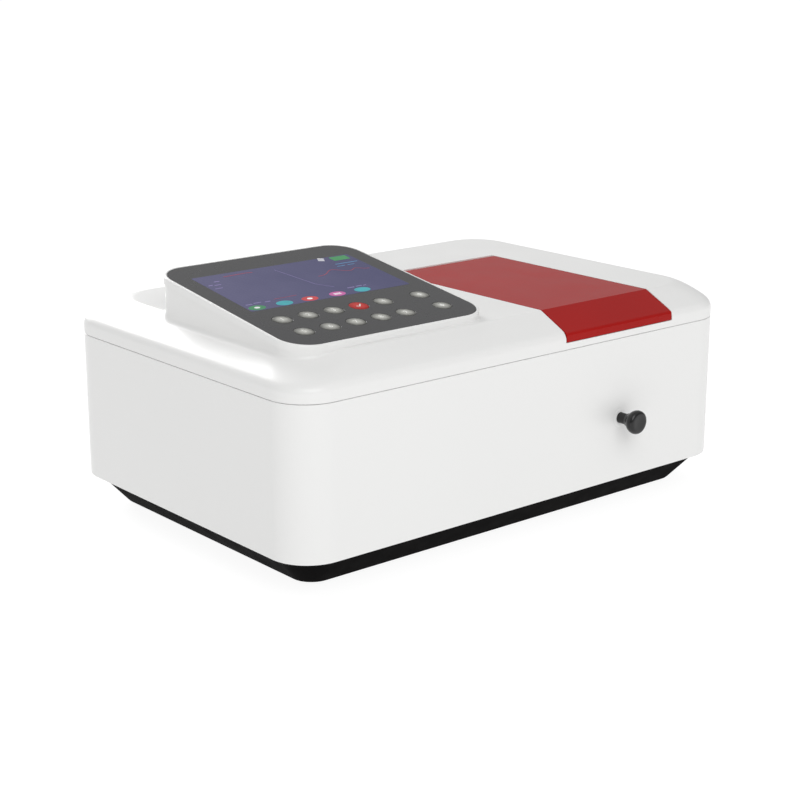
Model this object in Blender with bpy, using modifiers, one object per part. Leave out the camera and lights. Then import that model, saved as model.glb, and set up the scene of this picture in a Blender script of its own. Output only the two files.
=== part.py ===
"""A bench spectrophotometer: white moulded housing on a black plinth, tilted display with a keypad,
hinged red sample-compartment lid, pull rod that moves a four-place cuvette carriage, and the optics,
lamps, electronics, fan and mains inlet inside.

Units are metres and +Z is up. The origin is on the bench, under the middle of the whole object's box.
Most places below are given from the middle of the housing's plan, and one empty carries the difference.
"""

import math

import bmesh
import bpy
from mathutils import Matrix, Vector

# Housing: the driving dimensions
WIDTH = 0.460
DEPTH = 0.3165
CORNER = 0.033
WALL = 0.003
FIT_GAP = 0.0003

FOOT_DROP = 0.003
PLINTH_TOP = 0.028
PLINTH_FOOT_INSET = 0.0265
PLINTH_TOP_INSET = 0.006
PLINTH_FOOT_CORNER = 0.017
PLINTH_UPSTAND = 0.008
PAN_THICK = 0.003
SEAM = 0.1494
COVER_TOP = 0.177
COVER_WALL = 0.0026

# Cover edges: sloped shoulders in front and on the left, round ones on the right and behind
FRONT_SHOULDER_RUN = 0.0296
LEFT_SHOULDER_RUN = 0.033
SHOULDER_FOOT = 0.1625
ROUND_SHOULDER = 0.020
SHOULDER_RISE = COVER_TOP - SHOULDER_FOOT
# Heights on the shoulders, each with the share of the full run that the slopes have reached there
SHOULDER_LEVELS = (
    (SHOULDER_FOOT - 0.0028, 0.0),
    (SHOULDER_FOOT - 0.0006, 0.02),
    (SHOULDER_FOOT + SHOULDER_RISE * 0.10, 0.09),
    (SHOULDER_FOOT + SHOULDER_RISE * 0.50, 0.47),
    (COVER_TOP - 0.0022, 0.82),
    (COVER_TOP - 0.0006, 0.93),
    (COVER_TOP, 1.0),
)
# How much each plan corner's radius grows up the shoulders: back right, back left, front left, front right
CORNER_GROWTH = (-0.002, 0.008, 0.018, 0.0)

# Display panel: its own frame has u to the right, v up the slope and w out of the glass
PANEL_CENTRE = Vector((-0.1101, -0.0302, 0.19648))
PANEL_TILT = math.radians(8.35)
PANEL_SIDE = 0.187
PANEL_CORNER = 0.023
BEZEL_RIM = 0.0026
BEZEL_THICK = 0.006
TOWER_WALL = 0.003
OVERLAY_THICK = 0.0025
SCREEN_WIDTH = 0.160
SCREEN_LOW_V = -0.020
SCREEN_HIGH_V = 0.070
KEY_RADIUS = 0.0080
KEY_TRAVEL = 0.001
KEY_COLUMNS = (-0.0670, -0.0426, -0.0182, 0.0062, 0.0306, 0.0680)
KEY_ROWS = (-0.0400, -0.0675)
RED_KEY = 4
BOARD_THICK = 0.0016

# Sample compartment, its lid and the cuvette carriage
LID_LEFT = 0.0355
LID_RIGHT = 0.1595
LID_BACK = 0.063
LID_LIP_FOOT = 0.1557
LID_THICK = 0.003
HINGE_RADIUS = 0.005
HINGE_PIN_RADIUS = 0.0015
PIN_GAP = 0.0001
TRAY_LEFT = 0.038
TRAY_RIGHT = 0.157
TRAY_FRONT = -0.150
TRAY_BACK = 0.052
TRAY_FLOOR = 0.060
TRAY_TOP = 0.155
TRAY_WALL = 0.003
BEAM_Y = -0.045
BEAM_Z = 0.090
ROD_X = 0.1004
ROD_Z = 0.0819
ROD_RADIUS = 0.0045
BUSH_RADIUS = 0.0069
KNOB_RADIUS = 0.010
KNOB_REACH = 0.022
KNOB_FOOT = 0.0088
CELL_PITCH = 0.019
CELLS = 4
CUVETTE_SIDE = 0.0125
CUVETTE_TALL = 0.045
CUVETTE_WALL = 0.00125
CUVETTE_LOW = 0.0758
CARRIAGE_LOW = 0.0655
CARRIAGE_END = 0.010
RAIL_RADIUS = 0.003
RAIL_OFFSET = 0.0205
RAIL_Z = 0.0700

# Monochromator
CASE_LOW = Vector((-0.062, -0.115, 0.045))
CASE_HIGH = Vector((0.030, 0.040, 0.118))
CASE_WALL = 0.003
GRATING_X = -0.005
GRATING_Y = -0.010
GEAR_MODULE = 0.00075
SECTOR_TEETH = 80
SECTOR_SPREAD = 9
PINION_TEETH = 20
GEAR_THICK = 0.004
GEAR_Z = 0.068
ENTRY_X = -0.045

# Back panel
REAR_PROUD = 0.0015
INLET_X = 0.150
SWITCH_X = 0.095
USB_X = 0.055
INLET_HALF_WIDE = 0.0135
INLET_HALF_TALL = 0.0100
SWITCH_HALF_WIDE = 0.0095
SWITCH_HALF_TALL = 0.0063
USB_HALF_WIDE = 0.0060
USB_HALF_TALL = 0.0055
SOCKET_Z = 0.080
FAN_X = -0.080
FAN_Z = 0.092
FAN_SIDE = 0.060
FAN_DEEP = 0.015

FRONT = -DEPTH / 2
BACK = DEPTH / 2
FLOOR = FOOT_DROP + PAN_THICK
HINGE_Y = LID_BACK - HINGE_RADIUS
HINGE_Z = COVER_TOP - HINGE_RADIUS


def clear_scene():
    for obj in list(bpy.data.objects):
        bpy.data.objects.remove(obj)


def make_collection(name, hidden=False):
    collection = bpy.data.collections.new(name)
    collection.hide_render = hidden
    bpy.context.scene.collection.children.link(collection)
    return collection


def finish(name, colour, roughness, metallic=0.0, alpha=1.0):
    """A Principled material of one colour."""
    material = bpy.data.materials.new(name)
    material.use_nodes = True
    shader = material.node_tree.nodes["Principled BSDF"]
    shader.inputs["Base Color"].default_value = (*colour, 1.0)
    shader.inputs["Roughness"].default_value = roughness
    shader.inputs["Metallic"].default_value = metallic
    shader.inputs["Alpha"].default_value = alpha
    return material


clear_scene()
PARTS = make_collection("spectrophotometer")
CUTTERS = make_collection("cutters", hidden=True)

WHITE = finish("white_abs", (0.86, 0.86, 0.86), 0.45)
RED = finish("red_pmma", (0.42, 0.03, 0.03), 0.25)
BLACK = finish("black_abs", (0.015, 0.014, 0.015), 0.5)
RUBBER = finish("black_rubber", (0.02, 0.02, 0.02), 0.9)
GLASS_BLACK = finish("overlay_glass", (0.035, 0.035, 0.038), 0.15)
SCREEN = finish("lcd_screen", (0.08, 0.10, 0.35), 0.2)
KEY_GREY = finish("key_grey", (0.12, 0.12, 0.12), 0.4)
KEY_RED = finish("key_red", (0.55, 0.04, 0.04), 0.4)
BOARD_GREEN = finish("circuit_board", (0.02, 0.16, 0.06), 0.5)
STEEL = finish("bright_steel", (0.62, 0.62, 0.62), 0.25, 1.0)
ALUMINIUM = finish("cast_aluminium", (0.55, 0.56, 0.57), 0.45, 1.0)
ANODISED = finish("black_anodised", (0.03, 0.03, 0.03), 0.5, 0.6)
CLEAR = finish("cuvette_glass", (0.9, 0.95, 0.97), 0.03, 0.0, 0.35)
LAMP_GLASS = finish("lamp_glass", (0.9, 0.9, 0.85), 0.05, 0.0, 0.5)
MIRROR = finish("front_mirror", (0.9, 0.9, 0.9), 0.03, 1.0)
BRASS = finish("brass", (0.65, 0.48, 0.18), 0.3, 1.0)
RIBBON = finish("ribbon_cable", (0.35, 0.36, 0.38), 0.6)
SILVER_TIN = finish("zinc_plated_steel", (0.5, 0.5, 0.5), 0.4, 1.0)

housing_centre = bpy.data.objects.new("housing_centre", None)
housing_centre.location = (0, (KNOB_REACH - REAR_PROUD) / 2, 0)
PARTS.objects.link(housing_centre)

panel_frame = bpy.data.objects.new("panel_frame", None)
panel_frame.location = PANEL_CENTRE
panel_frame.rotation_euler = (PANEL_TILT, 0, 0)
panel_frame.parent = housing_centre
PARTS.objects.link(panel_frame)


def add_object(name, mesh, material, place=(0, 0, 0), parent=housing_centre, turn=(0, 0, 0)):
    mesh.name = name
    mesh.materials.clear()
    mesh.materials.append(material)
    obj = bpy.data.objects.new(name, mesh)
    obj.location = place
    obj.rotation_euler = turn
    obj.parent = parent
    PARTS.objects.link(obj)
    return obj


def add_cutter(mesh, place=(0, 0, 0), parent=housing_centre, turn=(0, 0, 0)):
    obj = add_object("cutter", mesh, WHITE, place, parent, turn)
    PARTS.objects.unlink(obj)
    CUTTERS.objects.link(obj)
    obj.hide_render = True
    obj.display_type = "WIRE"
    return obj


def combine(target, others, operation):
    """Boolean of target with each of the others, in order."""
    for other in others:
        modifier = target.modifiers.new(operation.lower(), "BOOLEAN")
        modifier.operation = operation
        modifier.solver = "EXACT"
        modifier.object = other
    return target


def cut(target, *cutters):
    return combine(target, cutters, "DIFFERENCE")


def join(target, *others):
    return combine(target, others, "UNION")


def to_mesh(bm):
    bmesh.ops.recalc_face_normals(bm, faces=bm.faces)
    mesh = bpy.data.meshes.new("mesh")
    bm.to_mesh(mesh)
    bm.free()
    return mesh


def box_mesh(low, high):
    """A box between two corners."""
    low = Vector(low)
    high = Vector(high)
    bm = bmesh.new()
    bmesh.ops.create_cube(bm, size=1)
    bmesh.ops.scale(bm, vec=high - low, verts=bm.verts)
    bmesh.ops.translate(bm, vec=(low + high) / 2, verts=bm.verts)
    return to_mesh(bm)


def rod_mesh(radius, length, axis="Z", sides=16, centre=(0, 0, 0), end_radius=None):
    """A cylinder, or a cone, centred on a point."""
    turns = {"X": Matrix.Rotation(math.pi / 2, 3, "Y"), "Y": Matrix.Rotation(-math.pi / 2, 3, "X")}
    bm = bmesh.new()
    second = radius if end_radius is None else end_radius
    bmesh.ops.create_cone(bm, cap_ends=True, segments=sides, radius1=radius, radius2=second, depth=length)
    if axis in turns:
        bmesh.ops.rotate(bm, cent=(0, 0, 0), matrix=turns[axis], verts=bm.verts)
    bmesh.ops.translate(bm, vec=centre, verts=bm.verts)
    mesh = to_mesh(bm)
    mesh.shade_smooth()
    mesh.set_sharp_from_angle(angle=math.radians(40))
    return mesh


def rounded_rectangle(low, high, radius, steps=6):
    """Points round a rectangle with round corners, counter-clockwise.

    radius is one value, or four: back right, back left, front left, front right.
    """
    radii = radius if isinstance(radius, tuple) else (radius,) * 4
    corners = (
        (high[0], high[1], -1, -1),
        (low[0], high[1], 1, -1),
        (low[0], low[1], 1, 1),
        (high[0], low[1], -1, 1),
    )
    points = []
    for quarter, (x, y, inward_x, inward_y) in enumerate(corners):
        bend = radii[quarter]
        for step in range(steps + 1):
            angle = (quarter + step / steps) * math.pi / 2
            centre_x = x + inward_x * bend
            centre_y = y + inward_y * bend
            points.append((centre_x + bend * math.cos(angle), centre_y + bend * math.sin(angle)))
    return points


def circle(x, y, radius, sides=16):
    turns = [2 * math.pi * k / sides for k in range(sides)]
    return [(x + radius * math.cos(a), y + radius * math.sin(a)) for a in turns]


def plate_mesh(outlines, bottom, top):
    """A flat plate from an outer outline and any holes, as a filled 2D curve made into a mesh."""
    curve = bpy.data.curves.new("plate", "CURVE")
    curve.dimensions = "2D"
    curve.fill_mode = "BOTH"
    curve.extrude = (top - bottom) / 2
    for outline in outlines:
        spline = curve.splines.new("POLY")
        spline.points.add(len(outline) - 1)
        for point, (x, y) in zip(spline.points, outline):
            point.co = (x, y, 0, 1)
        spline.use_cyclic_u = True
    holder = bpy.data.objects.new("plate", curve)
    bpy.context.scene.collection.objects.link(holder)
    bpy.context.view_layer.update()
    graph = bpy.context.evaluated_depsgraph_get()
    mesh = bpy.data.meshes.new_from_object(holder.evaluated_get(graph))
    bpy.data.objects.remove(holder)
    bm = bmesh.new()
    bm.from_mesh(mesh)
    bmesh.ops.remove_doubles(bm, verts=bm.verts, dist=1e-6)
    bmesh.ops.translate(bm, vec=(0, 0, (top + bottom) / 2), verts=bm.verts)
    return to_mesh(bm)


def side_plate_mesh(outline, left, right):
    """A plate whose outline is drawn in (y, z) and that runs from left to right along x."""
    mesh = plate_mesh([outline], left, right)
    mesh.transform(Matrix(((0, 0, 1, 0), (1, 0, 0, 0), (0, 1, 0, 0), (0, 0, 0, 1))))
    return mesh


def loft_mesh(rings):
    """A closed solid through level rings that all have the same number of points."""
    bm = bmesh.new()
    loops = [[bm.verts.new(point) for point in ring] for ring in rings]
    for lower, upper in zip(loops, loops[1:]):
        count = len(lower)
        for k in range(count):
            after = (k + 1) % count
            bm.faces.new((lower[k], lower[after], upper[after], upper[k]))
    bm.faces.new(list(reversed(loops[0])))
    bm.faces.new(loops[-1])
    return to_mesh(bm)


def plan_ring(z, inset, radius):
    """The housing's plan at one height. inset is one value, or four: front, left, right, back."""
    front, left, right, back = inset if isinstance(inset, tuple) else (inset,) * 4
    low = (-WIDTH / 2 + left, FRONT + front)
    high = (WIDTH / 2 - right, BACK - back)
    return [(x, y, z) for x, y in rounded_rectangle(low, high, radius)]


def turned(name, profile, material, place, parent=housing_centre, turn=(0, 0, 0), steps=16):
    """A turned piece from (radius, height) points that run down the outer side, about its own Z."""
    mesh = bpy.data.meshes.new(name)
    points = [(radius, 0, height) for radius, height in profile]
    mesh.from_pydata(points, [(k, k + 1) for k in range(len(points) - 1)], [])
    obj = add_object(name, mesh, material, place, parent, turn)
    screw = obj.modifiers.new("turn", "SCREW")
    screw.steps = steps
    screw.render_steps = steps
    screw.use_merge_vertices = True
    screw.merge_threshold = 0.00001
    return obj


def base():
    """The black plinth: a tray that narrows to its foot, with an upstand inside the housing wall."""
    upstand_inset = WALL + 0.0004
    pan = loft_mesh((
        plan_ring(FOOT_DROP, PLINTH_FOOT_INSET, PLINTH_FOOT_CORNER),
        plan_ring(PLINTH_TOP - FIT_GAP, PLINTH_TOP_INSET, CORNER - PLINTH_TOP_INSET + 0.003),
        plan_ring(PLINTH_TOP, upstand_inset, CORNER - upstand_inset),
        plan_ring(PLINTH_TOP + PLINTH_UPSTAND, upstand_inset, CORNER - upstand_inset),
    ))
    hollow = loft_mesh((
        plan_ring(FLOOR, PLINTH_FOOT_INSET + PAN_THICK, PLINTH_FOOT_CORNER - PAN_THICK),
        plan_ring(PLINTH_TOP, PLINTH_TOP_INSET + PAN_THICK, CORNER - PLINTH_TOP_INSET),
        plan_ring(PLINTH_TOP + 0.02, PLINTH_TOP_INSET + PAN_THICK, CORNER - PLINTH_TOP_INSET),
    ))
    cut(add_object("base_pan", pan, BLACK), add_cutter(hollow))
    foot_x = WIDTH / 2 - 0.055
    foot_y = DEPTH / 2 - 0.055
    foot_top = FOOT_DROP - FIT_GAP
    profile = ((0, foot_top), (0.009, foot_top), (0.0085, 0), (0, 0))
    for name, side_x, side_y in (
        ("foot_front_left", -1, -1),
        ("foot_front_right", 1, -1),
        ("foot_rear_left", -1, 1),
        ("foot_rear_right", 1, 1),
    ):
        turned(name, profile, RUBBER, (side_x * foot_x, side_y * foot_y, 0))


def rear_hole(x, z, half_wide, half_tall):
    """A cutter through the rear wall."""
    low = (x - half_wide, BACK - 2 * WALL, z - half_tall)
    high = (x + half_wide, BACK + WALL, z + half_tall)
    return add_cutter(box_mesh(low, high))


def housing():
    """The white skirt round the machine, open above and below, with the holes for rod, fan and sockets."""
    outer = rounded_rectangle((-WIDTH / 2, FRONT), (WIDTH / 2, BACK), CORNER)
    inner_low = (-WIDTH / 2 + WALL, FRONT + WALL)
    inner_high = (WIDTH / 2 - WALL, BACK - WALL)
    inner = rounded_rectangle(inner_low, inner_high, CORNER - WALL)
    skirt = add_object("lower_housing", plate_mesh([outer, inner], PLINTH_TOP + FIT_GAP, SEAM), WHITE)
    rod_hole = rod_mesh(BUSH_RADIUS + FIT_GAP, 0.02, "Y", centre=(ROD_X, FRONT, ROD_Z))
    cutters = [
        add_cutter(rod_hole),
        rear_hole(INLET_X, SOCKET_Z, INLET_HALF_WIDE + 0.0005, INLET_HALF_TALL + FIT_GAP),
        rear_hole(SWITCH_X, SOCKET_Z, SWITCH_HALF_WIDE + 0.0005, SWITCH_HALF_TALL + 0.0005),
        rear_hole(USB_X, SOCKET_Z, USB_HALF_WIDE + FIT_GAP, USB_HALF_TALL + FIT_GAP),
    ]
    slot_pitch = 0.008
    slot_half_wide = 0.0022
    for k in range(-3, 4):
        half_tall = 0.026 - 0.0030 * abs(k)
        cutters.append(rear_hole(FAN_X + k * slot_pitch, FAN_Z, slot_half_wide, half_tall))
    cut(skirt, *cutters)


def cover_rings(shrink, low):
    """The cover's outer surface as rings from low upwards, moved inwards and downwards by shrink."""
    rings = [plan_ring(low, shrink, CORNER - shrink)]
    for z, share in SHOULDER_LEVELS:
        drop = ROUND_SHOULDER - (COVER_TOP - z)
        round_inset = 0.0
        if drop > 0:
            round_inset = ROUND_SHOULDER - math.sqrt(ROUND_SHOULDER ** 2 - drop ** 2)
        front = share * FRONT_SHOULDER_RUN
        left = share * LEFT_SHOULDER_RUN
        insets = (front + shrink, left + shrink, round_inset + shrink, round_inset + shrink)
        radii = tuple(CORNER + growth * share - shrink for growth in CORNER_GROWTH)
        rings.append(plan_ring(z - shrink, insets, radii))
    return rings


def cover():
    """The white top cover with its shoulders, the raised display housing and the lid's opening."""
    shell = add_object("top_cover", loft_mesh(cover_rings(0.0, SEAM + FIT_GAP)), WHITE)
    hollow = loft_mesh(cover_rings(COVER_WALL, SEAM - 0.01))
    half_x = PANEL_SIDE / 2 + BEZEL_RIM
    half_y = half_x * math.cos(PANEL_TILT)
    low = (PANEL_CENTRE.x - half_x, PANEL_CENTRE.y - half_y)
    high = (PANEL_CENTRE.x + half_x, PANEL_CENTRE.y + half_y)
    corner = PANEL_CORNER + BEZEL_RIM
    tower_above = PANEL_CENTRE.z + 0.03
    tower = add_cutter(plate_mesh([rounded_rectangle(low, high, corner)], SEAM + 0.002, tower_above))
    inner_low = (low[0] + TOWER_WALL, low[1] + TOWER_WALL)
    inner_high = (high[0] - TOWER_WALL, high[1] - TOWER_WALL)
    inner = rounded_rectangle(inner_low, inner_high, corner - TOWER_WALL)
    tower_hollow = add_cutter(plate_mesh([inner], SEAM - 0.01, tower_above + 0.01))
    above = box_mesh((-0.2, -0.2, -BEZEL_THICK - FIT_GAP), (0.2, 0.2, 0.1))
    opening_low = (LID_LEFT - FIT_GAP, FRONT - 0.01, LID_LIP_FOOT - FIT_GAP)
    opening_high = (LID_RIGHT + FIT_GAP, LID_BACK + FIT_GAP, COVER_TOP + 0.01)
    cut(shell, add_cutter(hollow))
    lug_wide = 0.007
    lug_gap = 0.0015
    lug_low = HINGE_Z - HINGE_RADIUS
    for left in (LID_LEFT - lug_gap - lug_wide, LID_RIGHT + lug_gap):
        lug_from = (left, HINGE_Y - HINGE_RADIUS, lug_low)
        lug_to = (left + lug_wide, HINGE_Y + HINGE_RADIUS, COVER_TOP - 0.001)
        join(shell, add_cutter(box_mesh(lug_from, lug_to)))
    join(shell, tower)
    middle = ((LID_LEFT + LID_RIGHT) / 2, HINGE_Y, HINGE_Z)
    pin_hole = rod_mesh(HINGE_PIN_RADIUS + PIN_GAP, LID_RIGHT - LID_LEFT + 0.04, "X", 12, middle)
    opening = add_cutter(box_mesh(opening_low, opening_high))
    cut(shell, tower_hollow, add_cutter(above, parent=panel_frame), opening, add_cutter(pin_hole))


def lid():
    """The red sample lid: a folded plate with a rolled hinge edge, side flanges and two hinge pins."""
    left = LID_LEFT + FIT_GAP
    right = LID_RIGHT - FIT_GAP
    crease = FRONT + FRONT_SHOULDER_RUN
    lip_top = SHOULDER_FOOT + 0.0013
    lip_bevel = 0.0015
    under = COVER_TOP - LID_THICK
    outline = [
        (HINGE_Y, COVER_TOP),
        (crease, COVER_TOP),
        (FRONT + lip_bevel, lip_top),
        (FRONT, lip_top - lip_bevel),
        (FRONT, LID_LIP_FOOT),
        (FRONT + LID_THICK, LID_LIP_FOOT),
        (FRONT + LID_THICK, lip_top - LID_THICK),
        (crease + 0.001, under),
        (HINGE_Y - HINGE_RADIUS, under),
    ]
    roll_steps = 12
    roll_start = -math.pi * 0.9
    roll_turn = math.pi * 1.4
    for step in range(1, roll_steps):
        angle = roll_start + step * roll_turn / roll_steps
        outline.append((HINGE_Y + HINGE_RADIUS * math.cos(angle), HINGE_Z + HINGE_RADIUS * math.sin(angle)))
    panel = add_object("sample_lid", side_plate_mesh(outline, left, right), RED)
    overlap = 0.001
    back = HINGE_Y - 0.008
    front = FRONT + 0.008
    foot = TRAY_TOP + 0.0006
    flange = [
        (back, under + overlap),
        (crease, under + overlap),
        (front, lip_top - LID_THICK + 0.0035),
        (front, foot),
        (back, foot),
    ]
    inset = 0.003
    thick = 0.002
    for start in (left + inset, right - inset - thick):
        join(panel, add_cutter(side_plate_mesh(flange, start, start + thick)))
    middle = ((left + right) / 2, HINGE_Y, HINGE_Z)
    cut(panel, add_cutter(rod_mesh(HINGE_PIN_RADIUS + PIN_GAP, right - left + 0.01, "X", 12, middle)))
    length = 0.020
    outside = 0.008
    for name, x in (
        ("lid_hinge_pin_left", left - outside + length / 2),
        ("lid_hinge_pin_right", right + outside - length / 2),
    ):
        add_object(name, rod_mesh(HINGE_PIN_RADIUS, length, "X", 12), STEEL, (x, HINGE_Y, HINGE_Z))


def square_outline(half, corner):
    return rounded_rectangle((-half, -half), (half, half), corner)


def display():
    """Bezel, dark overlay with its key holes, screen module, keypad board and twelve keys."""
    half = PANEL_SIDE / 2
    ledge = 0.004
    outer = square_outline(half + BEZEL_RIM, PANEL_CORNER + BEZEL_RIM)
    hole = square_outline(half - ledge, PANEL_CORNER - ledge)
    frame = plate_mesh([outer, hole], -BEZEL_THICK, 0.0002)
    bezel = add_object("display_bezel", frame, WHITE, parent=panel_frame)
    pocket = square_outline(half + FIT_GAP, PANEL_CORNER + FIT_GAP)
    pocket_floor = -OVERLAY_THICK - FIT_GAP
    cut(bezel, add_cutter(plate_mesh([pocket], pocket_floor, 0.01), parent=panel_frame))

    screen_half = SCREEN_WIDTH / 2
    window = [
        (-screen_half, SCREEN_LOW_V),
        (screen_half, SCREEN_LOW_V),
        (screen_half, SCREEN_HIGH_V),
        (-screen_half, SCREEN_HIGH_V),
    ]
    key_places = [(u, v) for v in KEY_ROWS for u in KEY_COLUMNS]
    holes = [circle(u, v, KEY_RADIUS + 0.0004) for u, v in key_places]
    overlay = plate_mesh([square_outline(half, PANEL_CORNER), window] + holes, -OVERLAY_THICK, 0)
    add_object("panel_overlay", overlay, GLASS_BLACK, parent=panel_frame)

    gap = 0.0002
    face_low = (-screen_half + gap, SCREEN_LOW_V + gap, -0.004)
    face_high = (screen_half - gap, SCREEN_HIGH_V - gap, 0)
    module = add_object("lcd_module", box_mesh(face_low, face_high), SCREEN, parent=panel_frame)
    margin = 0.003
    back_low = (-screen_half - margin, SCREEN_LOW_V - margin, -0.009)
    back_high = (screen_half + margin, SCREEN_HIGH_V + margin, pocket_floor)
    join(module, add_cutter(box_mesh(back_low, back_high), parent=panel_frame))

    key_foot = -0.0042
    contact_tall = 0.0009
    contact_sunk = 0.00015
    board_top = key_foot - KEY_TRAVEL - 0.0023
    board_mesh = box_mesh((-0.082, -0.084, board_top - BOARD_THICK), (0.082, -0.026, board_top))
    board = add_object("keypad_board", board_mesh, BOARD_GREEN, parent=panel_frame)
    contact_middle = board_top + contact_tall / 2 - contact_sunk
    for u, v in key_places:
        contact = rod_mesh(0.003, contact_tall, "Z", 8, (u, v, contact_middle))
        join(board, add_cutter(contact, parent=panel_frame))

    flange_top = -OVERLAY_THICK - 0.0004
    flange_radius = KEY_RADIUS + 0.0012
    profile = (
        (0, 0.0010),
        (KEY_RADIUS * 0.75, 0.0008),
        (KEY_RADIUS, 0.0001),
        (KEY_RADIUS, flange_top),
        (flange_radius, flange_top),
        (flange_radius, key_foot),
        (0, key_foot),
    )
    for number, (u, v) in enumerate(key_places, 1):
        material = KEY_RED if number == RED_KEY else KEY_GREY
        turned(f"key_{number:02d}", profile, material, (u, v, 0), panel_frame)


def sample_compartment():
    """The black light-tight tray under the lid, with windows for the beam and a hole for the rod."""
    outside = box_mesh((TRAY_LEFT, TRAY_FRONT, TRAY_FLOOR - TRAY_WALL), (TRAY_RIGHT, TRAY_BACK, TRAY_TOP))
    tray = add_object("sample_tray", outside, BLACK)
    hollow_low = (TRAY_LEFT + TRAY_WALL, TRAY_FRONT + TRAY_WALL, TRAY_FLOOR)
    hollow_high = (TRAY_RIGHT - TRAY_WALL, TRAY_BACK - TRAY_WALL, TRAY_TOP + 0.01)
    leg_inset = 0.01
    leg_deep = 0.012
    for y in (TRAY_FRONT + 0.03, TRAY_BACK - 0.05):
        leg_low = (TRAY_LEFT + leg_inset, y, FLOOR + FIT_GAP)
        leg_high = (TRAY_RIGHT - leg_inset, y + leg_deep, TRAY_FLOOR - 0.001)
        join(tray, add_cutter(box_mesh(leg_low, leg_high)))
    middle = (TRAY_LEFT + TRAY_RIGHT) / 2
    beam = rod_mesh(0.006, TRAY_RIGHT - TRAY_LEFT + 0.02, "X", 16, (middle, BEAM_Y, BEAM_Z))
    rod = rod_mesh(ROD_RADIUS + 0.001, 0.02, "Y", 16, (ROD_X, TRAY_FRONT, ROD_Z))
    cut(tray, add_cutter(box_mesh(hollow_low, hollow_high)), add_cutter(beam), add_cutter(rod))


def carriage():
    """The four-place cuvette carriage on two rails, with the pull rod, its knob and its bush."""
    cell_places = [BEAM_Y + k * CELL_PITCH for k in range(CELLS)]
    front_end = cell_places[0] - CARRIAGE_END
    back_end = cell_places[-1] + CARRIAGE_END
    plate_low = (ROD_X - 0.030, front_end, CARRIAGE_LOW)
    plate_high = (ROD_X + 0.030, back_end, CARRIAGE_LOW + 0.0105)
    slide = add_object("cell_carriage", box_mesh(plate_low, plate_high), ANODISED)
    block_low = (ROD_X - 0.0105, front_end, CARRIAGE_LOW + 0.0095)
    block_high = (ROD_X + 0.0105, back_end, 0.1050)
    join(slide, add_cutter(box_mesh(block_low, block_high)))
    cutters = []
    pocket_half = CUVETTE_SIDE / 2 + 0.0002
    slit_half = 0.003
    for y in cell_places:
        pocket_low = (ROD_X - pocket_half, y - pocket_half, CUVETTE_LOW - FIT_GAP)
        pocket_high = (ROD_X + pocket_half, y + pocket_half, 0.12)
        cutters.append(add_cutter(box_mesh(pocket_low, pocket_high)))
        slit_low = (ROD_X - 0.02, y - slit_half, BEAM_Z - 0.008)
        slit_high = (ROD_X + 0.02, y + slit_half, BEAM_Z + 0.008)
        cutters.append(add_cutter(box_mesh(slit_low, slit_high)))
    for side in (-1, 1):
        rail_place = (ROD_X + side * RAIL_OFFSET, 0, RAIL_Z)
        cutters.append(add_cutter(rod_mesh(RAIL_RADIUS + 0.00015, 0.2, "Y", 16, rail_place)))
    cut(slide, *cutters)
    half = CUVETTE_SIDE / 2
    inner = half - CUVETTE_WALL
    for number, y in enumerate(cell_places, 1):
        place = (ROD_X, y, CUVETTE_LOW)
        outside = box_mesh((-half, -half, 0), (half, half, CUVETTE_TALL))
        well = box_mesh((-inner, -inner, 0.0015), (inner, inner, CUVETTE_TALL + 0.01))
        cut(add_object(f"cuvette_{number}", outside, CLEAR, place), add_cutter(well, place))
    rail_length = TRAY_BACK - TRAY_FRONT - 2 * TRAY_WALL - 2 * FIT_GAP
    for name, side in (("carriage_rail_left", -1), ("carriage_rail_right", 1)):
        place = (ROD_X + side * RAIL_OFFSET, (TRAY_FRONT + TRAY_BACK) / 2, RAIL_Z)
        add_object(name, rod_mesh(RAIL_RADIUS, rail_length, "Y", 16), STEEL, place)
    rod_front = FRONT - KNOB_FOOT + FIT_GAP
    rod_back = front_end - FIT_GAP
    rod_place = (ROD_X, (rod_front + rod_back) / 2, ROD_Z)
    add_object("pull_rod", rod_mesh(ROD_RADIUS, rod_back - rod_front, "Y", 16), ANODISED, rod_place)
    knob = (
        (0, KNOB_REACH),
        (0.0065, KNOB_REACH),
        (0.0090, KNOB_REACH - 0.0012),
        (KNOB_RADIUS, KNOB_REACH - 0.0040),
        (0.0094, KNOB_REACH - 0.0075),
        (0.0062, KNOB_REACH - 0.0115),
        (0.0056, KNOB_FOOT),
        (0, KNOB_FOOT),
    )
    onto_front = (math.pi / 2, 0, 0)
    turned("pull_knob", knob, BLACK, (ROD_X, FRONT, ROD_Z), turn=onto_front, steps=20)
    bore = ROD_RADIUS + FIT_GAP
    bush = (
        (bore, 0.0010),
        (0.0085, 0.0010),
        (0.0085, FIT_GAP),
        (BUSH_RADIUS, FIT_GAP),
        (BUSH_RADIUS, -0.0060),
        (bore, -0.0060),
        (bore, 0.0010),
    )
    turned("rod_bush", bush, WHITE, (ROD_X, FRONT, ROD_Z), turn=onto_front, steps=20)


def tooth_outline(teeth, first, last):
    """Teeth of a spur gear between two tooth numbers, as points round its axis. Tooth 0 is centred on +X."""
    pitch_radius = teeth * GEAR_MODULE / 2
    root = pitch_radius - 0.0009
    tip = pitch_radius + 0.0007
    sides = (
        (root, -0.00064),
        (pitch_radius, -0.00044),
        (tip, -0.00020),
        (tip, 0.00020),
        (pitch_radius, 0.00044),
        (root, 0.00064),
    )
    points = []
    for tooth in range(first, last):
        middle = 2 * math.pi * tooth / teeth
        for radius, offset in sides:
            angle = middle + offset / radius
            points.append((radius * math.cos(angle), radius * math.sin(angle)))
    return points


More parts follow.
